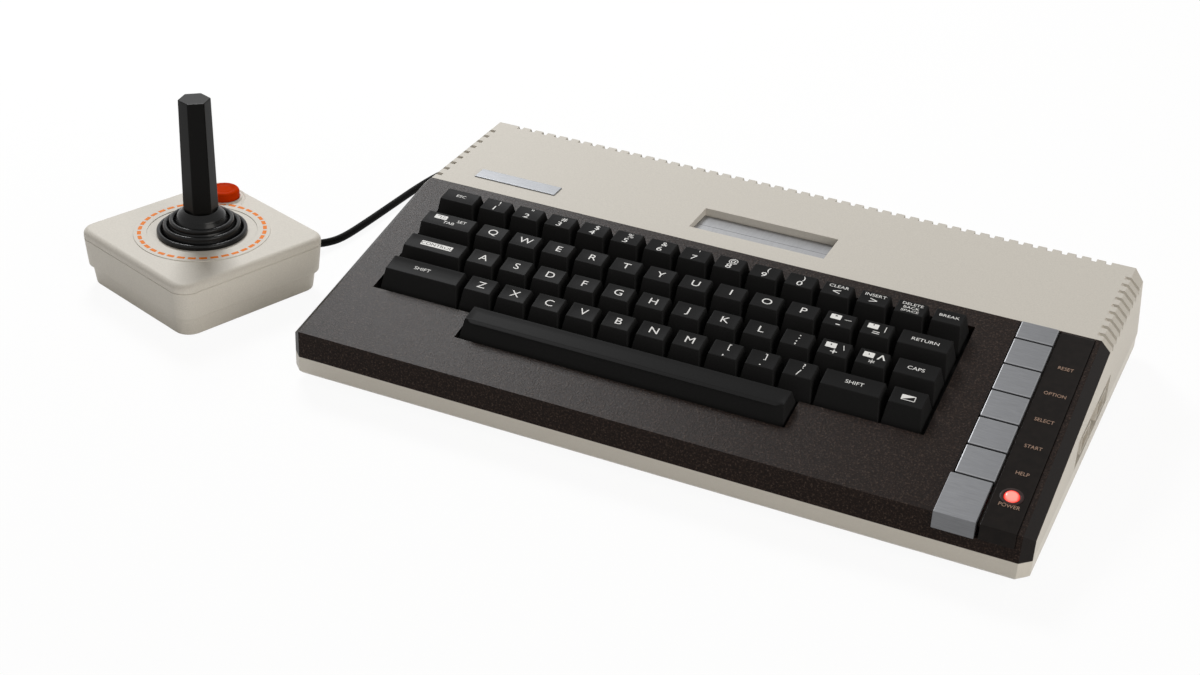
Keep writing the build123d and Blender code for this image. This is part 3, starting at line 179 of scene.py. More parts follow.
def addRing(name, inner, outer, low, high, rounding, sides=72):
    ring = addDisc(name, (0, 0, low), outer, sides)
    pick(ring, "FACE")
    bpy.ops.mesh.inset(thickness=outer - inner)
    bpy.ops.mesh.delete(type="FACE")
    bpy.ops.mesh.select_all(action="SELECT")
    extrude((0, 0, high - low))
    faceOutward()
    bevelRing(ring, high, rounding, 2)
    return ring


def bevelAll(obj, width, segments=2, angle=30, test=None):
    makeActive(obj)
    bpy.ops.object.mode_set(mode="EDIT")
    bpy.ops.mesh.select_mode(type="EDGE")
    bpy.ops.mesh.select_all(action="DESELECT")
    bpy.ops.mesh.edges_select_sharp(sharpness=math.radians(angle))
    leaveEdit()
    if test:
        for edge in obj.data.edges:
            if edge.select and not test(edge):
                edge.select = False
    bpy.ops.object.mode_set(mode="EDIT")
    bpy.ops.mesh.bevel(offset=width, segments=segments, clamp_overlap=True)
    leaveEdit()


def newLine(name, kind, points):
    line = bpy.data.curves.new(name, "CURVE")
    line.dimensions = "3D"
    spline = line.splines.new(kind)
    spline.points.add(len(points) - 1)
    for point, place in zip(spline.points, points):
        point.co = (*place, 1)
    return addObject(name, line)


def lineToMesh(obj):
    makeActive(obj)
    bpy.ops.object.convert(target="MESH")
    return bpy.context.object


def spinProfile(name, points, steps):
    # points are (radius, height) pairs, turned about Z
    spun = lineToMesh(newLine(name, "POLY", [(radius, 0, height) for radius, height in points]))
    pick(spun, "VERT")
    bpy.ops.mesh.spin(steps=steps, angle=2 * math.pi, center=(0, 0, 0), axis=(0, 0, 1))
    bpy.ops.mesh.select_all(action="SELECT")
    bpy.ops.mesh.remove_doubles(threshold=tiny)
    faceOutward()
    return spun


def join(pieces, name):
    clearSelection()
    for piece in pieces:
        piece.select_set(True)
    bpy.context.view_layer.objects.active = pieces[0]
    bpy.ops.object.join()
    pieces[0].name = name
    return pieces[0]


def copyOf(obj, place):
    twin = addObject(obj.name + "Copy", obj.data.copy())
    twin.data.transform(place)
    return twin


def copyNode(node, name):
    shell = addObject(name, nodes[node].data.copy())
    makeActive(shell)
    bpy.ops.object.mode_set(mode="EDIT")
    bpy.ops.mesh.select_all(action="SELECT")
    bpy.ops.mesh.remove_doubles(threshold=2 * tiny)
    bpy.ops.mesh.dissolve_limited(angle_limit=math.radians(0.6))   # takes triangles together
    leaveEdit()
    return shell


def finish(obj, color, replaced=(), body="computer", smooth=32):
    applyPlace(obj)
    obj.data.materials.clear()
    obj.data.materials.append(paint[color])
    bpy.ops.object.shade_smooth_by_angle(angle=math.radians(smooth))
    # flat faces stay flat beside their bevels
    flatten = obj.modifiers.new("flatten", "WEIGHTED_NORMAL")
    flatten.keep_sharp = True
    bpy.ops.object.modifier_apply(modifier="flatten")
    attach(obj, body)
    if replaced:
        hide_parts(*replaced)


cameraView = {
    "place": (0.2871, -0.8384, 0.5129),
    "turns": (23.26, 29.56, 3.0),   # yaw, pitch and roll
    "lens": 58.15,
}


def addCamera():
    camera = addObject("camera", bpy.data.cameras.new("camera"))
    camera.data.sensor_width = 36
    camera.data.lens = cameraView["lens"]
    camera.data.clip_start = 0.01
    camera.location = cameraView["place"]
    yaw, pitch, roll = (math.radians(angle) for angle in cameraView["turns"])
    aim = Euler((math.pi / 2 - pitch, 0, yaw)).to_matrix() @ Matrix.Rotation(roll, 3, "Z")
    camera.rotation_euler = aim.to_euler()
    scene.camera = camera
    scene.view_settings.view_transform = "Standard"


studio = {
    "worldStrength": 0.30,
    "worldColor": (1.0, 0.955, 0.89),
    "floorColor": (0.9, 0.9, 0.9),
    "floorShown": 0.93,   # how much of the floor is plain white to the camera
    "floorSize": 12,
    "floorHeight": -0.6 * mm,
}


def addLamp(name, place, target, size, power, color):
    lamp = addObject(name, bpy.data.lights.new(name, "AREA"))
    lamp.data.shape = "RECTANGLE"
    lamp.data.size, lamp.data.size_y = size
    lamp.data.energy = power
    lamp.data.color = color
    lamp.location = place
    lamp.rotation_euler = (Vector(target) - Vector(place)).to_track_quat("-Z", "Y").to_euler()


def setInputs(node, values):
    for socket, value in dict(values).items():
        node.inputs[socket].default_value = value


def addNode(tree, kind, values=(), operation=None):
    node = tree.nodes.new("ShaderNode" + kind)
    if operation:
        node.operation = operation
    setInputs(node, values)
    return node


def newMaterial(name, color, roughness, metallic=0.0, ior=1.45):
    material = bpy.data.materials.new(name)
    material.use_nodes = True
    setInputs(
        material.node_tree.nodes["Principled BSDF"],
        {"Base Color": (*color, 1), "Roughness": roughness, "Metallic": metallic, "IOR": ior},
    )
    return material


def whiteRays(tree):
    # one for what the camera sees straight, in metal and gloss, or through glass
    path = addNode(tree, "LightPath")
    total = path.outputs["Is Camera Ray"]
    for kind in ("Is Glossy Ray", "Is Transmission Ray"):
        larger = addNode(tree, "Math", operation="MAXIMUM")
        tree.links.new(total, larger.inputs[0])
        tree.links.new(path.outputs[kind], larger.inputs[1])
        total = larger.outputs["Value"]
    return total


def mixShaders(tree, share, first, second, target):
    mixer = addNode(tree, "MixShader")
    for socket, output in zip(mixer.inputs, (share, first.outputs[0], second.outputs[0])):
        tree.links.new(output, socket)
    tree.links.new(mixer.outputs["Shader"], tree.nodes[target].inputs["Surface"])


def addStudio():
    white = (1, 1, 1, 1)
    world = bpy.data.worlds.new("studio")
    scene.world = world
    world.use_nodes = True
    tree = world.node_tree
    lit = tree.nodes["Background"]
    setInputs(lit, {"Color": (*studio["worldColor"], 1), "Strength": studio["worldStrength"]})
    seen = addNode(tree, "Background", {"Color": white, "Strength": 1.0})
    mixShaders(tree, whiteRays(tree), lit, seen, "World Output")

    size = studio["floorSize"]
    floor = addPlane("floor", (0, 0, studio["floorHeight"]), size, size)
    material = newMaterial("floorWhite", studio["floorColor"], 0.9, ior=1.5)
    tree = material.node_tree
    shader = tree.nodes["Principled BSDF"]
    glow = addNode(tree, "Emission", {"Color": white})
    share = addNode(tree, "Math", {1: studio["floorShown"]}, "MULTIPLY")
    tree.links.new(whiteRays(tree), share.inputs[0])
    mixShaders(tree, share.outputs["Value"], shader, glow, "Material Output")
    floor.data.materials.append(material)

    addLamp("keyLamp", (-0.93, 0.79, 1.30), (0, 0, 0), (0.5, 0.5), 22.5, (0.98, 0.99, 1.0))
    addLamp("sideLamp", (1.45, -0.62, 0.62), (0.1, 0, 0), (1.2, 0.9), 11.5, (1, 0.96, 0.9))


addCamera()
addStudio()
print("camera and light are up")


def noiseOf(material, scale, detail, stretch=(1, 1, 1), rough=0.5):
    tree = material.node_tree
    place = addNode(tree, "TexCoord")
    mapping = addNode(tree, "Mapping", {"Scale": stretch})
    noise = addNode(tree, "TexNoise", {"Scale": scale, "Detail": detail, "Roughness": rough})
    tree.links.new(place.outputs["Object"], mapping.inputs["Vector"])
    tree.links.new(mapping.outputs["Vector"], noise.inputs["Vector"])
    return noise


def paintRamp(material, noise, stops):
    tree = material.node_tree
    ramp = addNode(tree, "ValToRGB")
    elements = ramp.color_ramp.elements
    while len(elements) < len(stops):
        elements.new(0.5)
    for element, (place, color) in zip(elements, stops):
        element.position = place
        element.color = (*color, 1)
    tree.links.new(noise.outputs["Fac"], ramp.inputs["Fac"])
    tree.links.new(ramp.outputs["Color"], tree.nodes["Principled BSDF"].inputs["Base Color"])


def addBump(material, noise, strength, distance):
    tree = material.node_tree
    bump = addNode(tree, "Bump", {"Strength": strength, "Distance": distance})
    tree.links.new(noise.outputs["Fac"], bump.inputs["Height"])
    tree.links.new(bump.outputs["Normal"], tree.nodes["Principled BSDF"].inputs["Normal"])


def shade(color, factor):
    return tuple(channel * factor for channel in color)


def makeMouldedPlastic(name, color, roughness, grain, spread, depth, ior):
    material = newMaterial(name, color, roughness, ior=ior)
    noise = noiseOf(material, grain, detail=3.0, rough=0.6)
    stops = [(0.32, shade(color, 1 - spread)), (0.68, shade(color, 1 + spread))]
    paintRamp(material, noise, stops)
    addBump(material, noise, 0.35, depth)
    return material


def makeBrushedMetal(name, color, stretch, roughness):
    material = newMaterial(name, color, roughness, metallic=1.0)
    noise = noiseOf(material, 2600, detail=4.0, stretch=stretch, rough=0.7)
    paintRamp(material, noise, [(0.3, shade(color, 0.86)), (0.7, shade(color, 1.12))])
    addBump(material, noise, 0.3, 0.00001)
    return material


def makeBezelBrown():
    color = (0.0135, 0.0070, 0.0048)
    material = newMaterial("bezelBrown", color, 0.36, ior=1.17)
    speckle = noiseOf(material, 950, detail=3.0, rough=0.75)
    stops = [(0.38, shade(color, 0.45)), (0.54, color), (0.74, (0.075, 0.053, 0.042))]
    paintRamp(material, speckle, stops)
    addBump(material, speckle, 0.8, 0.00020)
    return material


def makeLampRed(middle, radius):
    material = newMaterial("lampRed", (0.45, 0.012, 0.008), 0.25)
    tree = material.node_tree
    shader = tree.nodes["Principled BSDF"]
    place = addNode(tree, "TexCoord")
    away = addNode(tree, "VectorMath", {1: middle}, "DISTANCE")
    share = addNode(tree, "MapRange", {"From Max": radius})
    ramp = addNode(tree, "ValToRGB")
    glow = ramp.color_ramp.elements
    glow[0].position, glow[0].color = 0.62, (1.0, 0.34, 0.28, 1)
    glow[1].position, glow[1].color = 1.0, (0.42, 0.004, 0.002, 1)
    edge = glow.new(0.86)
    edge.color = (0.95, 0.03, 0.015, 1)
    tree.links.new(place.outputs["Object"], away.inputs[0])
    tree.links.new(away.outputs["Value"], share.inputs["Value"])
    tree.links.new(share.outputs["Result"], ramp.inputs["Fac"])
    tree.links.new(ramp.outputs["Color"], shader.inputs["Emission Color"])
    shader.inputs["Emission Strength"].default_value = 1.0
    return material


def makeSmoked():
    color = (0.0085, 0.0062, 0.0052)
    material = newMaterial("smokedWindow", color, 0.16, ior=1.18)
    noise = noiseOf(material, 260, detail=1.0)
    paintRamp(material, noise, [(0.35, shade(color, 0.85)), (0.65, shade(color, 1.2))])
    addBump(material, noise, 0.05, 0.00002)
    return material


# name: color, roughness, grain, how far the grain's color spreads, its depth, index of refraction
creamColor = (0.615, 0.585, 0.53)
plastics = {
    "hoodCream": (shade(creamColor, 0.93), 0.55, 1300, 0.05, 0.00006, 1.3),
    "creamPlastic": (creamColor, 0.55, 1300, 0.05, 0.00006, 1.3),
    "creamSmooth": (creamColor, 0.42, 1900, 0.025, 0.00003, 1.3),
    "bezelSmooth": ((0.0105, 0.0082, 0.0075), 0.40, 1400, 0.2, 0.00003, 1.17),
    "keyBlack": ((0.0165, 0.0166, 0.0170), 0.36, 2200, 0.10, 0.00003, 1.065),
    "trimBlack": ((0.010, 0.010, 0.010), 0.5, 1800, 0.12, 0.00004, 1.25),
    "stickBlack": ((0.0035, 0.0033, 0.0030), 0.34, 2000, 0.10, 0.00002, 1.18),
    "bootRubber": ((0.0036, 0.0036, 0.0036), 0.25, 1500, 0.15, 0.00001, 1.3),
    "leadRubber": ((0.0045, 0.0045, 0.0043), 0.42, 1100, 0.15, 0.00003, 1.10),
    "footRubber": ((0.02, 0.02, 0.022), 0.8, 900, 0.15, 0.0001, 1.35),
    "fireOrange": ((0.47, 0.030, 0.001), 0.32, 1700, 0.04, 0.00002, 1.04),
    "ringOrange": ((0.76, 0.19, 0.004), 0.55, 1700, 0.05, 0.00002, 1.25),
    "legendWhite": ((0.80, 0.80, 0.79), 0.6, 1700, 0.03, 0.00002, 1.35),
    "labelTan": ((0.36, 0.24, 0.18), 0.6, 1700, 0.05, 0.00002, 1.25),
    "boardGreen": ((0.02, 0.12, 0.045), 0.35, 500, 0.18, 0.00003, 1.45),
    "ribbonGrey": ((0.42, 0.42, 0.43), 0.5, 700, 0.05, 0.00003, 1.45),
    # a dark ring round the power lamp: painted shadow of the recess the lamp sits in
    "lampSeatBrown": ((0.022, 0.008, 0.007), 0.3, 900, 0.2, 0.00002, 1.3),
}
# name: color, how the brushing is stretched, roughness
metals = {
    "buttonMetal": ((0.160, 0.162, 0.168), (0.05, 1, 1), 0.5),
    # a lighter copy of buttonMetal for the button bevels: painted highlight
    "buttonRimHighlight": ((0.225, 0.227, 0.234), (0.05, 1, 1), 0.45),
    "flapMetal": ((0.30, 0.302, 0.31), (1, 0.06, 0.06), 0.42),
    "plateMetal": ((0.225, 0.23, 0.24), (0.05, 1, 1), 0.42),
    "tinPlate": ((0.50, 0.50, 0.50), (1, 0.3, 1), 0.42),
    "contactGold": ((0.75, 0.52, 0.2), (1, 1, 1), 0.35),
}
paint = {name: makeMouldedPlastic(name, *values) for name, values in plastics.items()}
paint |= {name: makeBrushedMetal(name, *values) for name, values in metals.items()}
paint["bezelBrown"] = makeBezelBrown()
paint["smokedWindow"] = makeSmoked()
# the first color of a slot is that of its carried-over parts
slotColors = {
    "cream_plastic": ("creamPlastic", "hoodCream", "creamSmooth"),
    "brown_plastic": ("bezelBrown",),
    "key_plastic": ("keyBlack",),
    "brushed_metal": ("buttonMetal", "flapMetal", "plateMetal"),
    "smoked_plastic": ("smokedWindow", "lampSeatBrown"),
    "red_lamp": ("lampRed",),
    "black_plastic": ("trimBlack", "stickBlack"),
    "black_rubber": ("footRubber", "leadRubber"),
    "orange_plastic": ("fireOrange", "ringOrange"),
    "circuit_board": ("boardGreen",),
    "ribbon_plastic": ("ribbonGrey",),
    "steel": ("tinPlate", "contactGold"),
    "white_print": ("legendWhite",),
    "tan_print": ("labelTan",),
}
print("materials are ready")


deck = {"front": -0.123, "height": 0.0285, "rise": 0.0299, "run": 0.1376}
deckTilt = Matrix.Rotation(math.atan2(deck["rise"], deck["run"]), 4, "X")
deckPlace = Matrix.Translation((0, deck["front"], deck["height"])) @ deckTilt
deckUp = deckPlace.to_3x3() @ Vector((0, 0, 1))
joystick = {"middle": (-0.287, -0.059, 0), "turn": -19.5}
joyPlace = Matrix.Translation(joystick["middle"]) @ turned(joystick["turn"], "Z")


lead = {
    "diameter": 4.5 * mm,
    "rest": 2.35 * mm,
    "length": 1.15,
    "coilMiddle": (-120 * mm, 163 * mm),
    "coilRadius": 25.7 * mm,
    "pitch": 4.56 * mm,
    "turns": 5,
    "pointsPerTurn": 24,
    "firstAngle": 120,
    "crossing": 90,   # degrees at the end of a turn in which it moves to its next place
    "topPoints": 4,
    "layer": 0.866,   # height of a layer of turns that lies in the gaps of the one below
    "hump": 0.134,   # how much higher it lies where it crosses a turn
}
# the points of the part's own route, in metres, drawn out straight behind the joystick
leadStart = [(-0.26020, -0.01147, 0.0080), (-0.2562, -0.0002, 0.0056), (-0.2516, 0.0105, 0.0030)]
leadAcross = (-0.2478, -0.2462, -0.2450, -0.2438, -0.2405, -0.2280, -0.2060, -0.1810, -0.1580)
leadBack = (0.0215, 0.0450, 0.0750, 0.1050, 0.1310, 0.1510, 0.1615, 0.1650, 0.1745)
leadRoute = leadStart + [(x, y, lead["rest"]) for x, y in zip(leadAcross, leadBack)]
leadEnd = [
    (-0.1065, 0.1853, 0.0105),
    (-0.0995, 0.1812, 0.0113),
    (-0.0932, 0.1760, 0.0113),
    (-0.0875, 0.1716, 0.0098),
    (-0.0815, 0.1695, 0.0082),
    (-0.0750, 0.1690, 0.0075),
    (-0.0700, 0.1690, 0.0075),
]


def turnPlace(turn, u):
    # how far outside the coil's radius a turn lies, and how high; u runs over its crossing
    d, low = lead["pitch"], lead["rest"]
    high = low + lead["layer"] * d
    if turn == 0:
        return d * (1 - u), low
    if turn == 1:
        return -d * u, low
    if turn == 2:   # climbs over the turn before it
        angle = math.radians(180 - 120 * u)
        return -d * u + d * math.cos(angle), low + d * math.sin(angle)
    across = -d / 2 + d * u
    z = high + lead["hump"] * d * abs(math.sin(2 * math.pi * u))
    if turn == 3:
        return across, z
    angle = math.radians(120 * u)
    return across + d * math.cos(angle), z + d * math.sin(angle)


def coilPoint(degrees, across, z):
    widen = 1 / math.cos(math.pi / lead["pointsPerTurn"])
    radius = (lead["coilRadius"] + across) * widen
    angle = math.radians(degrees)
    x, y = lead["coilMiddle"]
    return x + radius * math.cos(angle), y + radius * math.sin(angle), z


def coilPoints():
    points = []
    step = 360 / lead["pointsPerTurn"]
    for turn in range(lead["turns"]):
        for i in range(lead["pointsPerTurn"]):
            done = i * step
            u = max(0, (done - 360 + lead["crossing"]) / lead["crossing"])
            points.append(coilPoint(lead["firstAngle"] - done, *turnPlace(turn, u)))
    top = lead["rest"] + 2 * lead["layer"] * lead["pitch"]
    for i in range(lead["topPoints"]):
        points.append(coilPoint(lead["firstAngle"] - i * step, 0, top))
    return points


def layLead():
    cord = newLine("joystickLead", "NURBS", leadRoute + coilPoints() + leadEnd)
    line = cord.data
    line.bevel_depth = lead["diameter"] / 2
    line.bevel_resolution = 4
    line.resolution_u = 4
    line.use_fill_caps = True
    line.splines[0].order_u = 3
    line.splines[0].use_endpoint_u = True
    line.materials.append(paint["leadRubber"])
    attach(cord, "computer")
    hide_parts("joystick_lead", "lead_coil")
    return cord


relief = metres({
    "start": 41.6,
    "end": 53.9,
    "wide": 3.3,
    "slim": 2.62,
    "height": 8,
    "across": 9.4,
})
plug = metres({
    "low": (-76.5, 152, 0.3),
    "high": (-46.5, 186, 15),
    "round": 2.2,
    "axis": (169, 7.5),
    "overlap": 2,   # how far sleeve and shroud reach into the body
    "sleeve": (3.7, 3.3),
    "sleeveStart": -82.2,
    "shroud": (18, 9.4),
    "shroudEnd": -40.5,
    "wall": 0.9,
    "hollow": 5.1,
    "insertInset": 1.3,
    "insertSunk": 0.2,
    "insertReach": 4.2,
    "insertRound": 0.6,
    "contact": (0.75, 0.42, 1.2),
    "contactFoot": 3.1,
    "contactPitch": 2.77,
    "rowGap": 2.84,
})
# five finger ridges on the plug's top
ridges = metres({
    "start": 9,
    "pitch": 3.2,
    "width": 1.5,
    "reach": 8,
    "foot": 0.9,
    "sunk": 0.05,
    "round": 0.35,
})


def ribbedSleeve(name, length, wide, slim, ribs):
    # a closed tapered sleeve from z 0 to its length, with a groove after each rib
    groove = 0.45 * mm
    points = [(0, 0), (wide, 0)]
    for i in range(ribs):
        for share, drop in ((0.12, 0), (0.62, 0), (0.70, groove), (0.92, groove)):
            place = (i + share) / ribs
            points.append((wide + (slim - wide) * place - drop, length * place))
    points += [(slim, length), (0, length)]
    return spinProfile(name, points, 32)


def addTube(name, outer, inner, length):
    # an open socket, closed at its foot
    floor = 0.2 * length
    points = [(0, 0), (outer, 0), (outer, length), (inner, length), (inner, floor), (0, floor)]
    return spinProfile(name, points, 12)


def rowPlaces(count, pitch):
    return [(i - (count - 1) / 2) * pitch for i in range(count)]


def makeRelief():
    length = relief["end"] - relief["start"]
    sleeve = ribbedSleeve("leadRelief", length, relief["wide"], relief["slim"], 5)
    start = Matrix.Translation((relief["across"], relief["start"], relief["height"]))
    setOn(start @ turned(-90, "X"), sleeve)
    finish(setOn(joyPlace, sleeve), "leadRubber", ["lead_strain_relief"])
    return sleeve


def makePlugBody():
    low, high = Vector(plug["low"]), Vector(plug["high"])
    y, z = plug["axis"]
    body = addBlock("leadPlug", low, high)
    pick(body, "FACE", lambda f: f.normal.x < -0.9)
    taper = (1, 0.62, 0.86)   # of the end where the lead comes in
    bpy.ops.transform.resize(value=taper, center_override=(low.x, y, z))
    leaveEdit()
    bevelAll(body, plug["round"], 4)
    pieces = [body]
    for i in range(5):
        x = low.x + ridges["start"] + ridges["pitch"] * i
        foot = (x, y - ridges["reach"], high.z - ridges["foot"])
        top = (x + ridges["width"], y + ridges["reach"], high.z - ridges["sunk"])
        pieces.append(addBlock("plugRidge", foot, top))
        bevelAll(pieces[-1], ridges["round"])
    inside = low.x + plug["overlap"]
    sleeve = ribbedSleeve("plugSleeve", inside - plug["sleeveStart"], *plug["sleeve"], 3)
    pieces.append(setOn(Matrix.Translation((inside, y, z)) @ turned(-90, "Y"), sleeve))
    whole = join(pieces, "leadPlug")
    finish(whole, "trimBlack", ["lead_plug"])
    return whole


def plugBox(name, start, end, inset, rounding):
    # a box along the plug's axis with its long edges rounded
    y, z = plug["axis"]
    width, height = (size / 2 - inset for size in plug["shroud"])
    box = addBlock(name, (start, y - width, z - height), (end, y + width, z + height))
    bevelAll(box, *rounding, test=lambda e: abs(edgeSpan(box, e).x) > tiny)
    return box


def makePlugEnd():
    y, z = plug["axis"]
    start, end = plug["high"][0] - plug["overlap"], plug["shroudEnd"]
    shroud = plugBox("plugShroud", start, end, 0, (plug["round"], 4))
    pick(shroud, "FACE", lambda f: f.normal.x > 0.9)
    bpy.ops.mesh.inset(thickness=plug["wall"])
    extrude((-plug["hollow"], 0, 0))
    leaveEdit()
    finish(shroud, "tinPlate", ["lead_plug"])

    floor = end - plug["hollow"]
    start, end = floor - plug["insertSunk"], floor + plug["insertReach"]
    insert = plugBox("plugInsert", start, end, plug["insertInset"], (plug["insertRound"], 2))
    finish(insert, "trimBlack")

    contacts = []
    for row, count in ((0.5, 5), (-0.5, 4)):
        for across in rowPlaces(count, plug["contactPitch"]):
            place = (floor + plug["contactFoot"], y + across, z + row * plug["rowGap"])
            contact = addTube("plugContact", *plug["contact"])
            contacts.append(setOn(Matrix.Translation(place) @ turned(90, "Y"), contact))
    holes = join(contacts, "plugContacts")
    finish(holes, "contactGold")
    return [shroud, insert, holes]


cord = layLead()
leadPieces = [makeRelief(), makePlugBody(), *makePlugEnd()]
print("lead is laid")


# node: bevel, its segments, the heights between which edges are bevelled, color
shells = {
    "top_shell": (0.45 * mm, 2, 15.5 * mm, 1, "hoodCream"),
    "bottom_shell": (0.45 * mm, 2, -1, 10.5 * mm, "creamSmooth"),
    "keyboard_bezel": (0.6 * mm, 3, 24 * mm, 1, "bezelBrown"),
    "name_plate": (0.12 * mm, 2, -1, 1, "plateMetal"),
}


def titleName(node):
    return "".join(word.title() for word in node.split("_"))


def makeShell(node, width, segments, low, high, color):
    name = titleName(node)
    shell = copyNode(node, name[0].lower() + name[1:])
    bevelAll(shell, width, segments, test=lambda e: low < edgeMiddle(shell, e).z < high)
    finish(shell, color, [node])
    return shell


made = {node: makeShell(node, *values) for node, values in shells.items()}
bezel = made["keyboard_bezel"].data
bezel.materials.append(paint["bezelSmooth"])
for face in bezel.polygons:
    if abs(face.normal.x) > 0.45:
        face.material_index = 1   # the chamfers and sides are smooth
print("case is done")


flaps = metres({
    "lift": 1.5,   # the leaves are thicker than their hinge plates
    "seam": 40.9,
    "narrowed": 0.17,
    "halfWidth": 37.6,
    "round": 0.3,
})


def makeFlap(side, inward):
    flap = copyNode("cartridge_door_" + side, "cartridgeFlap" + side.title())

    def atSeam(place):
        return abs(place.y - flaps["seam"]) < 1 * mm

    def atOuterSide(edge):
        place = edgeMiddle(flap, edge)
        return abs(place.x) < flaps["halfWidth"] and not atSeam(place)

    pick(flap, "FACE", lambda f: f.normal.z > 0.99 and f.area > mainFace)
    bpy.ops.transform.translate(value=(0, 0, flaps["lift"]))
    leaveEdit()
    pick(flap, "FACE", lambda f: inward * f.normal.y > 0.99 and atSeam(f.center))
    bpy.ops.transform.translate(value=(0, inward * flaps["narrowed"], 0))
    leaveEdit()
    bevelAll(flap, flaps["round"], test=atOuterSide)
    node = "cartridge_door_" + side
    finish(flap, "flapMetal", [node], node)


makeFlap("front", 1)
makeFlap("rear", -1)
print("flaps are done")


console = metres({
    "left": 146.2,
    "right": 164.9,
    "firstEdge": 26.006,
    "pitch": 20,
    "gap": 0.45,
    "top": 1.8,
    "bottom": -3.2,
    "end": 139.411,
    "edge": 0.65,
    "edgeAbove": -2,
    "stripLow": (165.0, 1, -2.4),
    "stripHigh": (165.85, 138.911, -0.35),
    "trimShift": -1.2,
    "trimEdge": 0.35,
})
consoleButtons = ("help", "start", "select", "option", "reset")


def makeConsoleBlock(name, node, front, back):
    low = (console["left"], front + console["gap"], console["bottom"])
    block = addBlock(name, low, (console["right"], back, console["top"]))
    bevelAll(block, console["edge"], test=lambda e: edgeMiddle(block, e).z > console["edgeAbove"])
    body = node if node.endswith("button") else "computer"
    finish(setOn(deckPlace, block), "buttonMetal", [node], body)
    block.data.materials.append(paint["buttonRimHighlight"])
    for face in block.data.polygons:
        if 0.1 < face.normal.dot(deckUp) < 0.99:
            face.material_index = 1   # the bevels get the lighter metal: a painted highlight


for i, name in enumerate(consoleButtons):
    front = console["firstEdge"] + i * console["pitch"]
    back = front + console["pitch"] - console["gap"]
    makeConsoleBlock(name + "Button", name + "_button", front, back)
makeConsoleBlock("consoleTrimTop", "console_trim_top", front + console["pitch"], console["end"])
# fills the gap between the buttons and the window
strip = addBlock("consoleStrip", console["stripLow"], console["stripHigh"])
finish(setOn(deckPlace, strip), "bezelBrown")
frontTrim = copyNode("console_trim_bottom", "consoleTrimBottom")
frontTrim.data.transform(Matrix.Translation((console["trimShift"], 0, 0)))
bevelAll(frontTrim, console["trimEdge"])
finish(frontTrim, "buttonMetal", ["console_trim_bottom"])


window = metres({"edge": 0.3, "rimWidth": 1.3, "rimDrop": 0.28})


def makeWindow():
    pane = copyNode("label_window", "labelWindow")
    bevelAll(pane, window["edge"])
    pick(pane, "FACE", lambda f: f.normal.dot(deckUp) > 0.9999 and f.area > mainFace)
    bpy.ops.mesh.inset(thickness=window["rimWidth"], depth=-window["rimDrop"])
    leaveEdit()
    finish(pane, "smokedWindow", ["label_window"])


lamp = metres({
    "middle": (174.2, 21.4),
    "radius": 3.7,
    "foot": -9,
    "top": 1.9,
    "round": 1.8,
    "glow": (174.2, 20.7, 1.3),
    "glowRadius": 3.848,
    # inner and outer radius, low, high and rounding of a flat dark ring on the window round the
    # lamp: painted shadow of its recess
    "seat": (3.8, 5.3, 0.22, 0.72, 0.12),
})


def makeLamp():
    dome = addPillar("powerLamp", (*lamp["middle"], lamp["foot"]), lamp["top"], lamp["radius"])
    bevelRing(dome, lamp["top"], lamp["round"], 5)
    finish(setOn(deckPlace, dome), "lampRed", ["power_lamp"])
    # a flat dark ring on the window stands in for the shadowed recess round the lamp: painted
    # shadow
    seat = addRing("lampSeat", *lamp["seat"])
    setOn(deckPlace @ Matrix.Translation((*lamp["middle"], 0)), seat)
    finish(seat, "lampSeatBrown")


paint["lampRed"] = makeLampRed(deckPlace @ Vector(lamp["glow"]), lamp["glowRadius"])
makeWindow()
makeLamp()
print("console column is done")


unit = 19.05 * mm   # from key to key
keys = metres({
    "gap": 0.8,
    "sideSlope": 1.8,
    "frontSlope": 5.8,
    "backSlope": 2.2,
    "topDepth": 10.4,
    "foot": -3.0,
    "edge": 0.42,
    # insets of the top: how wide, how deep
    "dishSteps": ((1.0, 0.16), (1.4, 0.128), (1.3, 0.064)),
    "left": -166.0,
    "right": 124.35,
    "shiftEnd": 103.5,
})
# front edge of the tops, its height, tilt of the tops, right side of the first cap
rows = {
    "number": (115.1 * mm, 11.2 * mm, -4.0, -142.3 * mm),
    "upper": (93.706 * mm, 10.9 * mm, -1.0, -133.5 * mm),
    "home": (74.506 * mm, 9.2 * mm, 2.0, -129.2 * mm),
    "lower": (55.306 * mm, 8.0 * mm, 4.0, -120.6 * mm),
    "space": (35.406 * mm, 7.2 * mm, -1.0, 0.0),
}


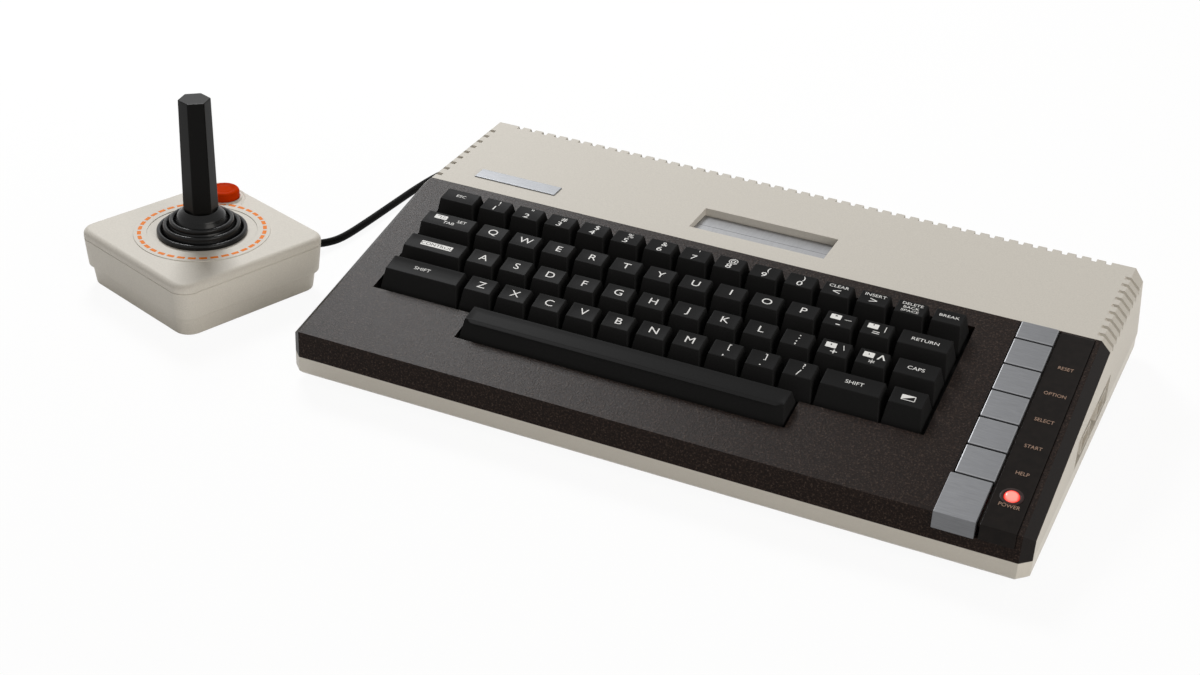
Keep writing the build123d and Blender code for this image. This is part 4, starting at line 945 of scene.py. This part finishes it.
def makeCap(name, left, right, row):
    front, height, tilt, _ = rows[row]
    front -= keys["backSlope"]
    back = front + keys["topDepth"]
    foot, heel = front - keys["frontSlope"], back + keys["backSlope"]
    left, right = left + keys["gap"] / 2, right - keys["gap"] / 2
    cap = addBlock(name, (left, foot, keys["foot"]), (right, heel, height))
    slopes = keys["frontSlope"] + keys["backSlope"]
    pick(cap, "FACE", lambda f: f.normal.z > 0.9)
    depth = keys["topDepth"]
    shrink = (1 - 2 * keys["sideSlope"] / (right - left), depth / (depth + slopes), 1)
    centre = ((left + right) / 2, (foot + heel) / 2, height)
    bpy.ops.transform.resize(value=shrink, center_override=centre)
    bpy.ops.transform.translate(value=(0, (keys["frontSlope"] - keys["backSlope"]) / 2, 0))
    leaveEdit()
    rise = keys["topDepth"] * math.sin(math.radians(tilt))

    def atBack(edge):
        place = edgeMiddle(cap, edge)
        return place.z > height - tiny and place.y > back - tiny

    pick(cap, "EDGE", atBack)
    bpy.ops.transform.translate(value=(0, 0, rise))
    leaveEdit()
    bevelAll(cap, keys["edge"], 3, 20, lambda e: edgeMiddle(cap, e).z > keys["foot"] + tiny)
    pick(cap, "FACE", lambda f: f.normal.z > 0.9 and f.area > mainFace)
    for thickness, drop in keys["dishSteps"]:
        bpy.ops.mesh.inset(thickness=thickness, depth=-drop)
    leaveEdit()
    return cap


def rowCells(row, first, count):
    start = rows[row][3]
    return [(start + i * unit, start + (i + 1) * unit) for i in range(first, first + count)]


keyCells = {
    "esc_key": ("number", [(keys["left"], rows["number"][3])]),
    "number_keys": ("number", rowCells("number", 0, 12)),
    "backspace_key": ("number", rowCells("number", 12, 1)),
    "break_key": ("number", rowCells("number", 13, 1)),
    "tab_key": ("upper", [(keys["left"], rows["upper"][3])]),
    "upper_letter_keys": ("upper", rowCells("upper", 0, 12)),
    "return_key": ("upper", [(rowCells("upper", 12, 1)[0][0], keys["right"])]),
    "control_key": ("home", [(keys["left"], rows["home"][3])]),
    "home_letter_keys": ("home", rowCells("home", 0, 12)),
    "caps_key": ("home", [(rowCells("home", 12, 1)[0][0], keys["right"])]),
    "left_shift_key": ("lower", [(keys["left"], rows["lower"][3])]),
    "lower_letter_keys": ("lower", rowCells("lower", 0, 10)),
    "right_shift_key": ("lower", [(rowCells("lower", 10, 1)[0][0], keys["shiftEnd"])]),
    "inverse_key": ("lower", [(keys["shiftEnd"], keys["right"])]),
    "space_bar": ("space", [(-109.6 * mm, 64.0 * mm)]),
}

# each legend: what it says, millimetres right of and behind the top's middle, size
letterSize, wordSize, symbolSize = 6.0, 3.1, 4.4


def letters(text):
    return [[(letter, 0.1, 0.2, letterSize)] for letter in text]


def pairs(bottoms, tops):
    return [[(b, -0.2, -2.2, 5.6), (t, 0.9, 2.4, symbolSize)] for b, t in zip(bottoms, tops)]


legends = {
    "esc_key": [[("ESC", 0, 0.6, 2.9)]],
    "number_keys": pairs("1234567890", "!\"#$%&'@()")
    + [[("CLEAR", 0, 2.9, 2.9), ("<", 0, -1.5, 6.8)]]
    + [[("INSERT", 0, 2.9, 2.9), (">", 0, -1.5, 6.8)]],
    "backspace_key": [[("DELETE", 0, 3.0, 2.7), ("BACK", 0, 0.2, 2.7), ("SPACE", 0, -2.6, 2.7)]],
    "break_key": [[("BREAK", 0, 0.8, 2.9)]],
    "tab_key": [[("SET", 6.6, 1.6, 2.9), ("TAB", 0.2, -1.2, 3.0)]],
    "upper_letter_keys": letters("QWERTYUIOP")
    + [[("_", 3.9, 3.6, 5.8), ("-", 0.1, -2.9, 7.2)]]
    + [[("|", 3.9, 1.6, 4.4), ("=", 0.1, -2.7, 6.2)]],
    "return_key": [[("RETURN", 0, 0.4, wordSize)]],
    "control_key": [[]],
    "home_letter_keys": letters("ASDFGHJKL")
    + [[(";", 0, -1.9, 5.8), (":", 0.6, 2.3, 5.4)]]
    + [[("\\", 4.0, 1.6, 4.6), ("+", 0.1, -2.4, 6.2)]]
    + [[("^", 3.9, 0.3, 8.6), ("*", 0.1, -3.5, 6.4)]],
    "caps_key": [[("CAPS", -0.6, 0.4, wordSize)]],
    "left_shift_key": [[("SHIFT", -2.0, 0.3, wordSize)]],
    "lower_letter_keys": letters("ZXCVBNM") + pairs(",./", "[]?"),
    "right_shift_key": [[("SHIFT", 0.6, 0.4, wordSize)]],
    "inverse_key": [[]],
    "space_bar": [[]],
}


def addText(text, middle, size, stretch=1.2):
    clearSelection()
    bpy.ops.object.text_add()
    label = bpy.context.object
    label.data.body = text
    label.data.size = size * mm
    label.data.align_x = "CENTER"
    label.data.align_y = "CENTER"
    label.data.resolution_u = 4
    bpy.ops.object.convert(target="MESH")
    label = bpy.context.object
    label.scale = (stretch, 1, 1)
    label.location = middle
    return applyPlace(label)


def addPatch(low, high):
    size = high - low
    patch = addPlane("patch", (low + high) / 2, size.x, size.y)
    pick(patch, "VERT")
    bpy.ops.mesh.bevel(offset=0.35 * mm, segments=3, affect="VERTICES")
    leaveEdit()
    return patch


def addArrow(middle, angle, size=2.4 * mm):
    head = addDisc("arrow", (0, size * 0.15, 0), size * 0.5, 3)
    stem = addPlane("stem", (0, -size * 0.3, 0), size * 0.24, size * 0.62)
    return setOn(Matrix.Translation(middle) @ turned(angle, "Z"), join([head, stem], "arrow"))


def addCorner(middle):
    # the half of a block below its diagonal
    corner = addPlane("corner", middle, 6.0 * mm, 2.6 * mm)
    pick(corner, "VERT", lambda v: v.co.x < middle.x and v.co.y > middle.y)
    bpy.ops.mesh.delete(type="VERT")
    leaveEdit()
    pick(corner, "VERT")
    bpy.ops.mesh.edge_face_add()
    leaveEdit()
    return corner


def arrowPatch(cell, angle):
    return cell, (-5.2, 0.2), (0.2, 3.6), lambda middle: addArrow(middle, angle)


# white patches: which cell, its corners in mm from the top's middle, the dark mark on it
patches = {
    "tab_key": [(0, (-9.4, 0.6), (-2.2, 3.6), lambda middle: addText("CLR", middle, 2.6))],
    "control_key": [
        (0, (-8.6, -1.4), (9.6, 1.8), lambda middle: addText("CONTROL", middle, 2.8, 1.35))
    ],
    "upper_letter_keys": [arrowPatch(10, 0), arrowPatch(11, 180)],
    "home_letter_keys": [arrowPatch(10, 90), arrowPatch(11, -90)],
    "inverse_key": [(0, (-3.4, -1.7), (3.4, 1.7), addCorner)],
}


def dropOnto(marks, cap, lift):
    wrap = marks.modifiers.new("wrap", "SHRINKWRAP")
    wrap.target = cap
    wrap.wrap_method = "PROJECT"
    wrap.use_project_z = True
    wrap.use_negative_direction = True
    wrap.use_positive_direction = False
    wrap.wrap_mode = "ABOVE_SURFACE"
    wrap.offset = lift
    makeActive(marks)
    bpy.ops.object.modifier_apply(modifier="wrap")
    return marks


def fromTop(row, cell, x, y):
    # a place above the cap, x and y in mm from the middle of its top
    front, height = rows[row][:2]
    middle = front - keys["backSlope"] + keys["topDepth"] / 2
    return Vector(((cell[0] + cell[1]) / 2 + x * mm, middle + y * mm, height + 2 * mm))


def makeCaps(name, row, cells):
    caps, made = [], {}
    for left, right in cells:
        width = round((right - left) / mm, 3)
        if width in made:
            origin, cap = made[width]
            caps.append(copyOf(cap, Matrix.Translation((left - origin, 0, 0))))
        else:
            caps.append(makeCap(name + "Cap", left, right, row))
            made[width] = (left, caps[-1])
    return join(caps, titleName(name))


def makeKeys(node, row, cells):
    whole = makeCaps(node, row, cells)
    whites, darks = [], []
    for cell, marks in zip(cells, legends[node]):
        whites += [addText(text, fromTop(row, cell, x, y), size) for text, x, y, size in marks]
    for i, low, high, addMark in patches.get(node, ()):
        low, high = fromTop(row, cells[i], *low), fromTop(row, cells[i], *high)
        whites.append(addPatch(low, high))
        darks.append(addMark((low + high) / 2))
    for group, lift, name, color in (
        (whites, 0.03 * mm, "Legends", "legendWhite"),
        (darks, 0.05 * mm, "DarkLegends", "keyBlack"),
    ):
        if group:
            marks = dropOnto(join(group, whole.name + name), whole, lift)
            finish(setOn(deckPlace, marks), color, (), node)
    finish(setOn(deckPlace, whole), "keyBlack", [node], node, 40)


for node, (row, cells) in keyCells.items():
    makeKeys(node, row, cells)
print("keys are done")


# each word and how far up the deck it stands, in mm
consoleWords = {
    "RESET": 113.3,
    "OPTION": 93.7,
    "SELECT": 74.5,
    "START": 55.4,
    "HELP": 37.0,
    "POWER": 15.2,
}
wordPlaces = [(word, (174.6 * mm, up * mm, 0.63 * mm)) for word, up in consoleWords.items()]
words = join([addText(word, place, 3.3, 0.87) for word, place in wordPlaces], "consoleWords")
finish(setOn(deckPlace, words), "labelTan")
print("console words are done")


lid = metres({
    "bottom": 10.6,
    "seam": 27.0,   # a groove runs round here
    "top": 32.0,
    "width": 94.0,
    "topWidth": 96.36,
    "corner": 9.0,
    "round": 3.2,
    "lowRound": 0.9,
    "groove": 0.5,
    "sunk": 0.4,   # how far the rings on it reach down
})
base = metres({"width": 89.0, "topWidth": 91.2, "round": 0.8})
dial = metres({
    "outer": 36.9,
    "inner": 29.6,
    "height": 0.45,
    "round": 0.3,
    "dashRadius": 33.7,
    "dash": (4.2, 2.1, 0.12),
    "dashRound": 0.25,
})
dashCount = 36
fire = metres({
    "place": (-26.9, 34.2, 0),
    "radius": 8.7,
    "foot": 25,
    "top": 37.5,
    "round": 1.8,
    "rimInner": 9.0,
    "rimOuter": 10.2,
    "rimHeight": 0.8,
    # insets: how wide, how deep
    "dish": ((0.4, 0.0), (0.9, -0.45), (1.3, -0.25), (0.3, 0.0), (0.2, 0.14), (0.3, 0.0)),
})
moulding = metres({"radius": 11.6, "sunk": 0.47, "bead": 0.85})


def addRoundedBlock(name, corner, sections):
    height, width = sections[0]
    block = addPlane(name, (0, 0, height), width, width)
    pick(block, "VERT")
    bpy.ops.mesh.bevel(offset=corner, segments=10, affect="VERTICES")
    bpy.ops.mesh.select_mode(type="FACE")
    bpy.ops.mesh.select_all(action="SELECT")
    for nextHeight, nextWidth in sections[1:]:
        extrude((0, 0, nextHeight - height))
        factor = nextWidth / width
        centre = (0, 0, nextHeight)
        bpy.ops.transform.resize(value=(factor, factor, 1), center_override=centre)
        height, width = nextHeight, nextWidth
    faceOutward()
    return block


def fireMoulding():
    # a bead round the fire button that runs out into the dial ring
    outward = Vector(fire["place"]).normalized()
    sideways = Vector((-outward.y, outward.x, 0))
    reach, steps = math.radians(104), 24
    flare, inside = 1.12, 0.2 * mm   # of its ends at the ring

    def arcPlace(share):
        angle = reach * share
        way = math.cos(angle) * outward + math.sin(angle) * sideways
        return Vector(fire["place"]) + moulding["radius"] * way

    def runOut(share):
        lateral = arcPlace(share).dot(sideways) * flare
        along = math.sqrt((dial["outer"] - inside) ** 2 - lateral**2)
        return along * outward + lateral * sideways

    arc = [arcPlace(2 * i / steps - 1) for i in range(steps + 1)]
    z = lid["top"] - moulding["sunk"]
    bead = newLine("fireMoulding", "POLY", [(p.x, p.y, z) for p in [runOut(-1), *arc, runOut(1)]])
    bead.data.bevel_depth = moulding["bead"]
    bead.data.bevel_resolution = 2
    return lineToMesh(bead)


def makeLid():
    top, seam, wide = lid["top"], lid["seam"], lid["topWidth"]
    sections = [
        (lid["bottom"], lid["width"]),
        (seam - 0.35 * mm, wide - 0.1 * mm),   # the groove's lower edge
        (seam, wide - 2 * lid["groove"]),
        (seam + 0.2 * mm, wide),   # and its upper edge
        (top, wide),
    ]
    body = addRoundedBlock("joystickLid", lid["corner"], sections)
    bevelRing(body, top, lid["round"], 7)
    bevelRing(body, lid["bottom"], lid["lowRound"], 3)
    low, high = top - lid["sunk"], top + dial["height"]
    ring = addRing("dialRing", dial["inner"], dial["outer"], low, high, dial["round"], 96)
    high = top + fire["rimHeight"]
    rim = addRing("fireRim", fire["rimInner"], fire["rimOuter"], low, high, dial["round"])
    setOn(Matrix.Translation(fire["place"]), rim)
    whole = join([body, ring, rim, fireMoulding()], "joystickLid")
    finish(setOn(joyPlace, whole), "creamPlastic", ["joystick_lid"])


def makeBase():
    sections = [(0, base["width"]), (lid["bottom"], base["topWidth"])]
    body = addRoundedBlock("joystickBase", lid["corner"], sections)
    bevelRing(body, 0, base["round"], 3)
    finish(setOn(joyPlace, body), "creamPlastic", ["joystick_base"])


def makeDashes():
    length, width, height = dial["dash"]
    dash = addBlock("dash", (-length / 2, -width / 2, 0), (length / 2, width / 2, height))
    pick(dash, "EDGE", lambda e: abs(edgeSpan(dash, e).z) > tiny)
    bpy.ops.mesh.bevel(offset=dial["dashRound"], segments=2)
    leaveEdit()
    foot = lid["top"] + dial["height"] - height / 2
    setOn(Matrix.Translation((0, dial["dashRadius"], foot)), dash)
    angles = [360 * (i + 0.5) / dashCount for i in range(dashCount)]
    dashes = [copyOf(dash, turned(angle, "Z")) for angle in angles]
    bpy.data.objects.remove(dash)
    ring = join(dashes, "dialDashes")
    finish(setOn(joyPlace, ring), "ringOrange")


boot = metres({
    "ringRadius": 24.4,
    "ringStep": 3.5,
    "firstTop": 34.8,
    "rise": 2.9,
    "round": 1.2,
    # radius and height
    "collar": ((13.2, 41.3), (13.1, 42.0), (12.8, 42.7), (12.1, 43.6), (11.1, 44.5), (10.4, 45.1)),
    "lip": ((10.0, 45.5), (9.8, 45.7), (9.0, 45.7), (8.3, 44.6)),
})


def bootRing(i):
    radius = boot["ringRadius"] - i * boot["ringStep"]
    top = boot["firstTop"] + i * boot["rise"]
    r = boot["round"]
    points = [(radius, top - boot["rise"] + 0.2 * mm), (radius, top - r)]
    for step in range(1, 9):
        angle = math.radians(22.5 * step)
        points.append((radius - r + r * math.cos(angle), top - r + r * math.sin(angle)))
    points.append((radius - 2 * r - 0.2 * mm, top - 1.9 * mm))
    return points


def makeBoot():
    lower = [(boot["ringRadius"], lid["top"])] + bootRing(0)[1:] + bootRing(1) + bootRing(2)[:1]
    upper = [*bootRing(2), *boot["collar"], *boot["lip"]]
    foot = spinProfile("bootFoot", lower, 72)
    neck = spinProfile("bootNeck", upper, 72)
    for piece in (foot, neck):
        setOn(joyPlace, piece)
        piece.data.materials.append(paint["bootRubber"])
        makeActive(piece)
        bpy.ops.object.shade_smooth_by_angle(angle=math.radians(50))
    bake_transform(foot)
    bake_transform(neck)
    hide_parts("stick_boot")
    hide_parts("stick_boot")


stick = metres({
    "bottom": 44.2,
    "top": 109.5,
    "bottomRadius": 9.53,
    "topRadius": 8.7,
    "edge": 0.55,
    "shaft": ((0, 0, 24), 45, 7.4),
})


def makeStick():
    clearSelection()
    bottom, top = stick["bottom"], stick["top"]
    bpy.ops.mesh.primitive_cone_add(
        vertices=6,
        radius1=stick["bottomRadius"],
        radius2=stick["topRadius"],
        depth=top - bottom,
        location=(0, 0, (bottom + top) / 2),
    )
    handle = nameNew("joystickStick")
    handle.data.transform(turned(30, "Z"))
    bevelAll(handle, stick["edge"], 3, 25, lambda e: edgeMiddle(handle, e).z > bottom + tiny)
    whole = join([handle, addPillar("stickShaft", *stick["shaft"], 32)], "joystickStick")
    finish(setOn(joyPlace, whole), "stickBlack", ["joystick_stick"], "joystick_stick", 25)


def makeFireButton():
    button = addPillar("fireButton", (0, 0, fire["foot"]), fire["top"], fire["radius"], 64)
    bevelRing(button, fire["top"], fire["round"], 6)
    pick(button, "FACE", lambda f: f.normal.z > 0.999 and f.area > mainFace)
    for thickness, depth in fire["dish"]:
        bpy.ops.mesh.inset(thickness=thickness, depth=depth)
    leaveEdit()
    setOn(Matrix.Translation(fire["place"]), button)
    finish(setOn(joyPlace, button), "fireOrange", ["fire_button"], "fire_button", 40)


makeLid()
makeBase()
makeDashes()
makeBoot()
makeStick()
makeFireButton()
print("joystick is done")


# pins are (radius, length)
sockets = metres({
    "height": 22.5,
    "dinPlaces": (-118, 0.0),
    "dinFloor": 91.8,
    "dinPinRing": 3.6,
    "dinPin": (0.7, 5.2),
    "serialMiddle": -60,
    "serialFloor": 92.5,
    "serialPitch": 4.2,
    "serialRow": 1.7,
    "serialPin": (0.6, 6.4),
    "gamePlaces": (-18.5, 16.5),
    "gameHeight": 23,
    "gameFloor": 184.5,
    "gamePitch": 2.77,
    "gameRow": 1.42,
    "gamePin": (0.5, 4.6),
})


def setPins(name, shape, places, turn):
    radius, length = shape
    pin = addPillar("pin", (0, 0, -0.3 * mm), length, radius, 16)
    bevelRing(pin, length, radius * 0.5, 3)
    pins = [copyOf(pin, Matrix.Translation(place) @ turn) for place in places]
    bpy.data.objects.remove(pin)
    finish(join(pins, name), "contactGold")


def makeSockets():
    backward = turned(-90, "X")   # pins point out of the back
    rightward = turned(90, "Y")
    z, ring = sockets["height"], sockets["dinPinRing"]
    places = []
    for x in sockets["dinPlaces"]:
        for degrees in (0, 45, 90, 135, 180):
            angle = math.radians(degrees)
            across, down = ring * math.cos(angle), ring * math.sin(angle)
            places.append((x + across, sockets["dinFloor"], z - down))
    setPins("dinPins", sockets["dinPin"], places, backward)

    x, y = sockets["serialMiddle"], sockets["serialFloor"]
    places = [
        (x + across, y, z + row)
        for row, count in ((sockets["serialRow"], 7), (-sockets["serialRow"], 6))
        for across in rowPlaces(count, sockets["serialPitch"])
    ]
    setPins("serialPins", sockets["serialPin"], places, backward)

    x, z = sockets["gameFloor"], sockets["gameHeight"]
    places = [
        (x, y + across, z + row)
        for y in sockets["gamePlaces"]
        for row, count in ((sockets["gameRow"], 5), (-sockets["gameRow"], 4))
        for across in rowPlaces(count, sockets["gamePitch"])
    ]
    setPins("gamePortPins", sockets["gamePin"], places, rightward)


makeSockets()
print("sockets have their pins")


for subpart in frame["record"]["subparts"]:
    materials = nodes[subpart["node"]].data.materials
    materials.clear()
    materials.append(paint[slotColors[subpart["material_slot"]][0]])
nodes["key_plate"].data.materials[0] = paint["trimBlack"]   # the steel plate under the keys is coloured black
nodes["controller_ports"].data.materials[0] = paint["creamSmooth"]
print("plain parts are finished")

bpy.context.view_layer.update()
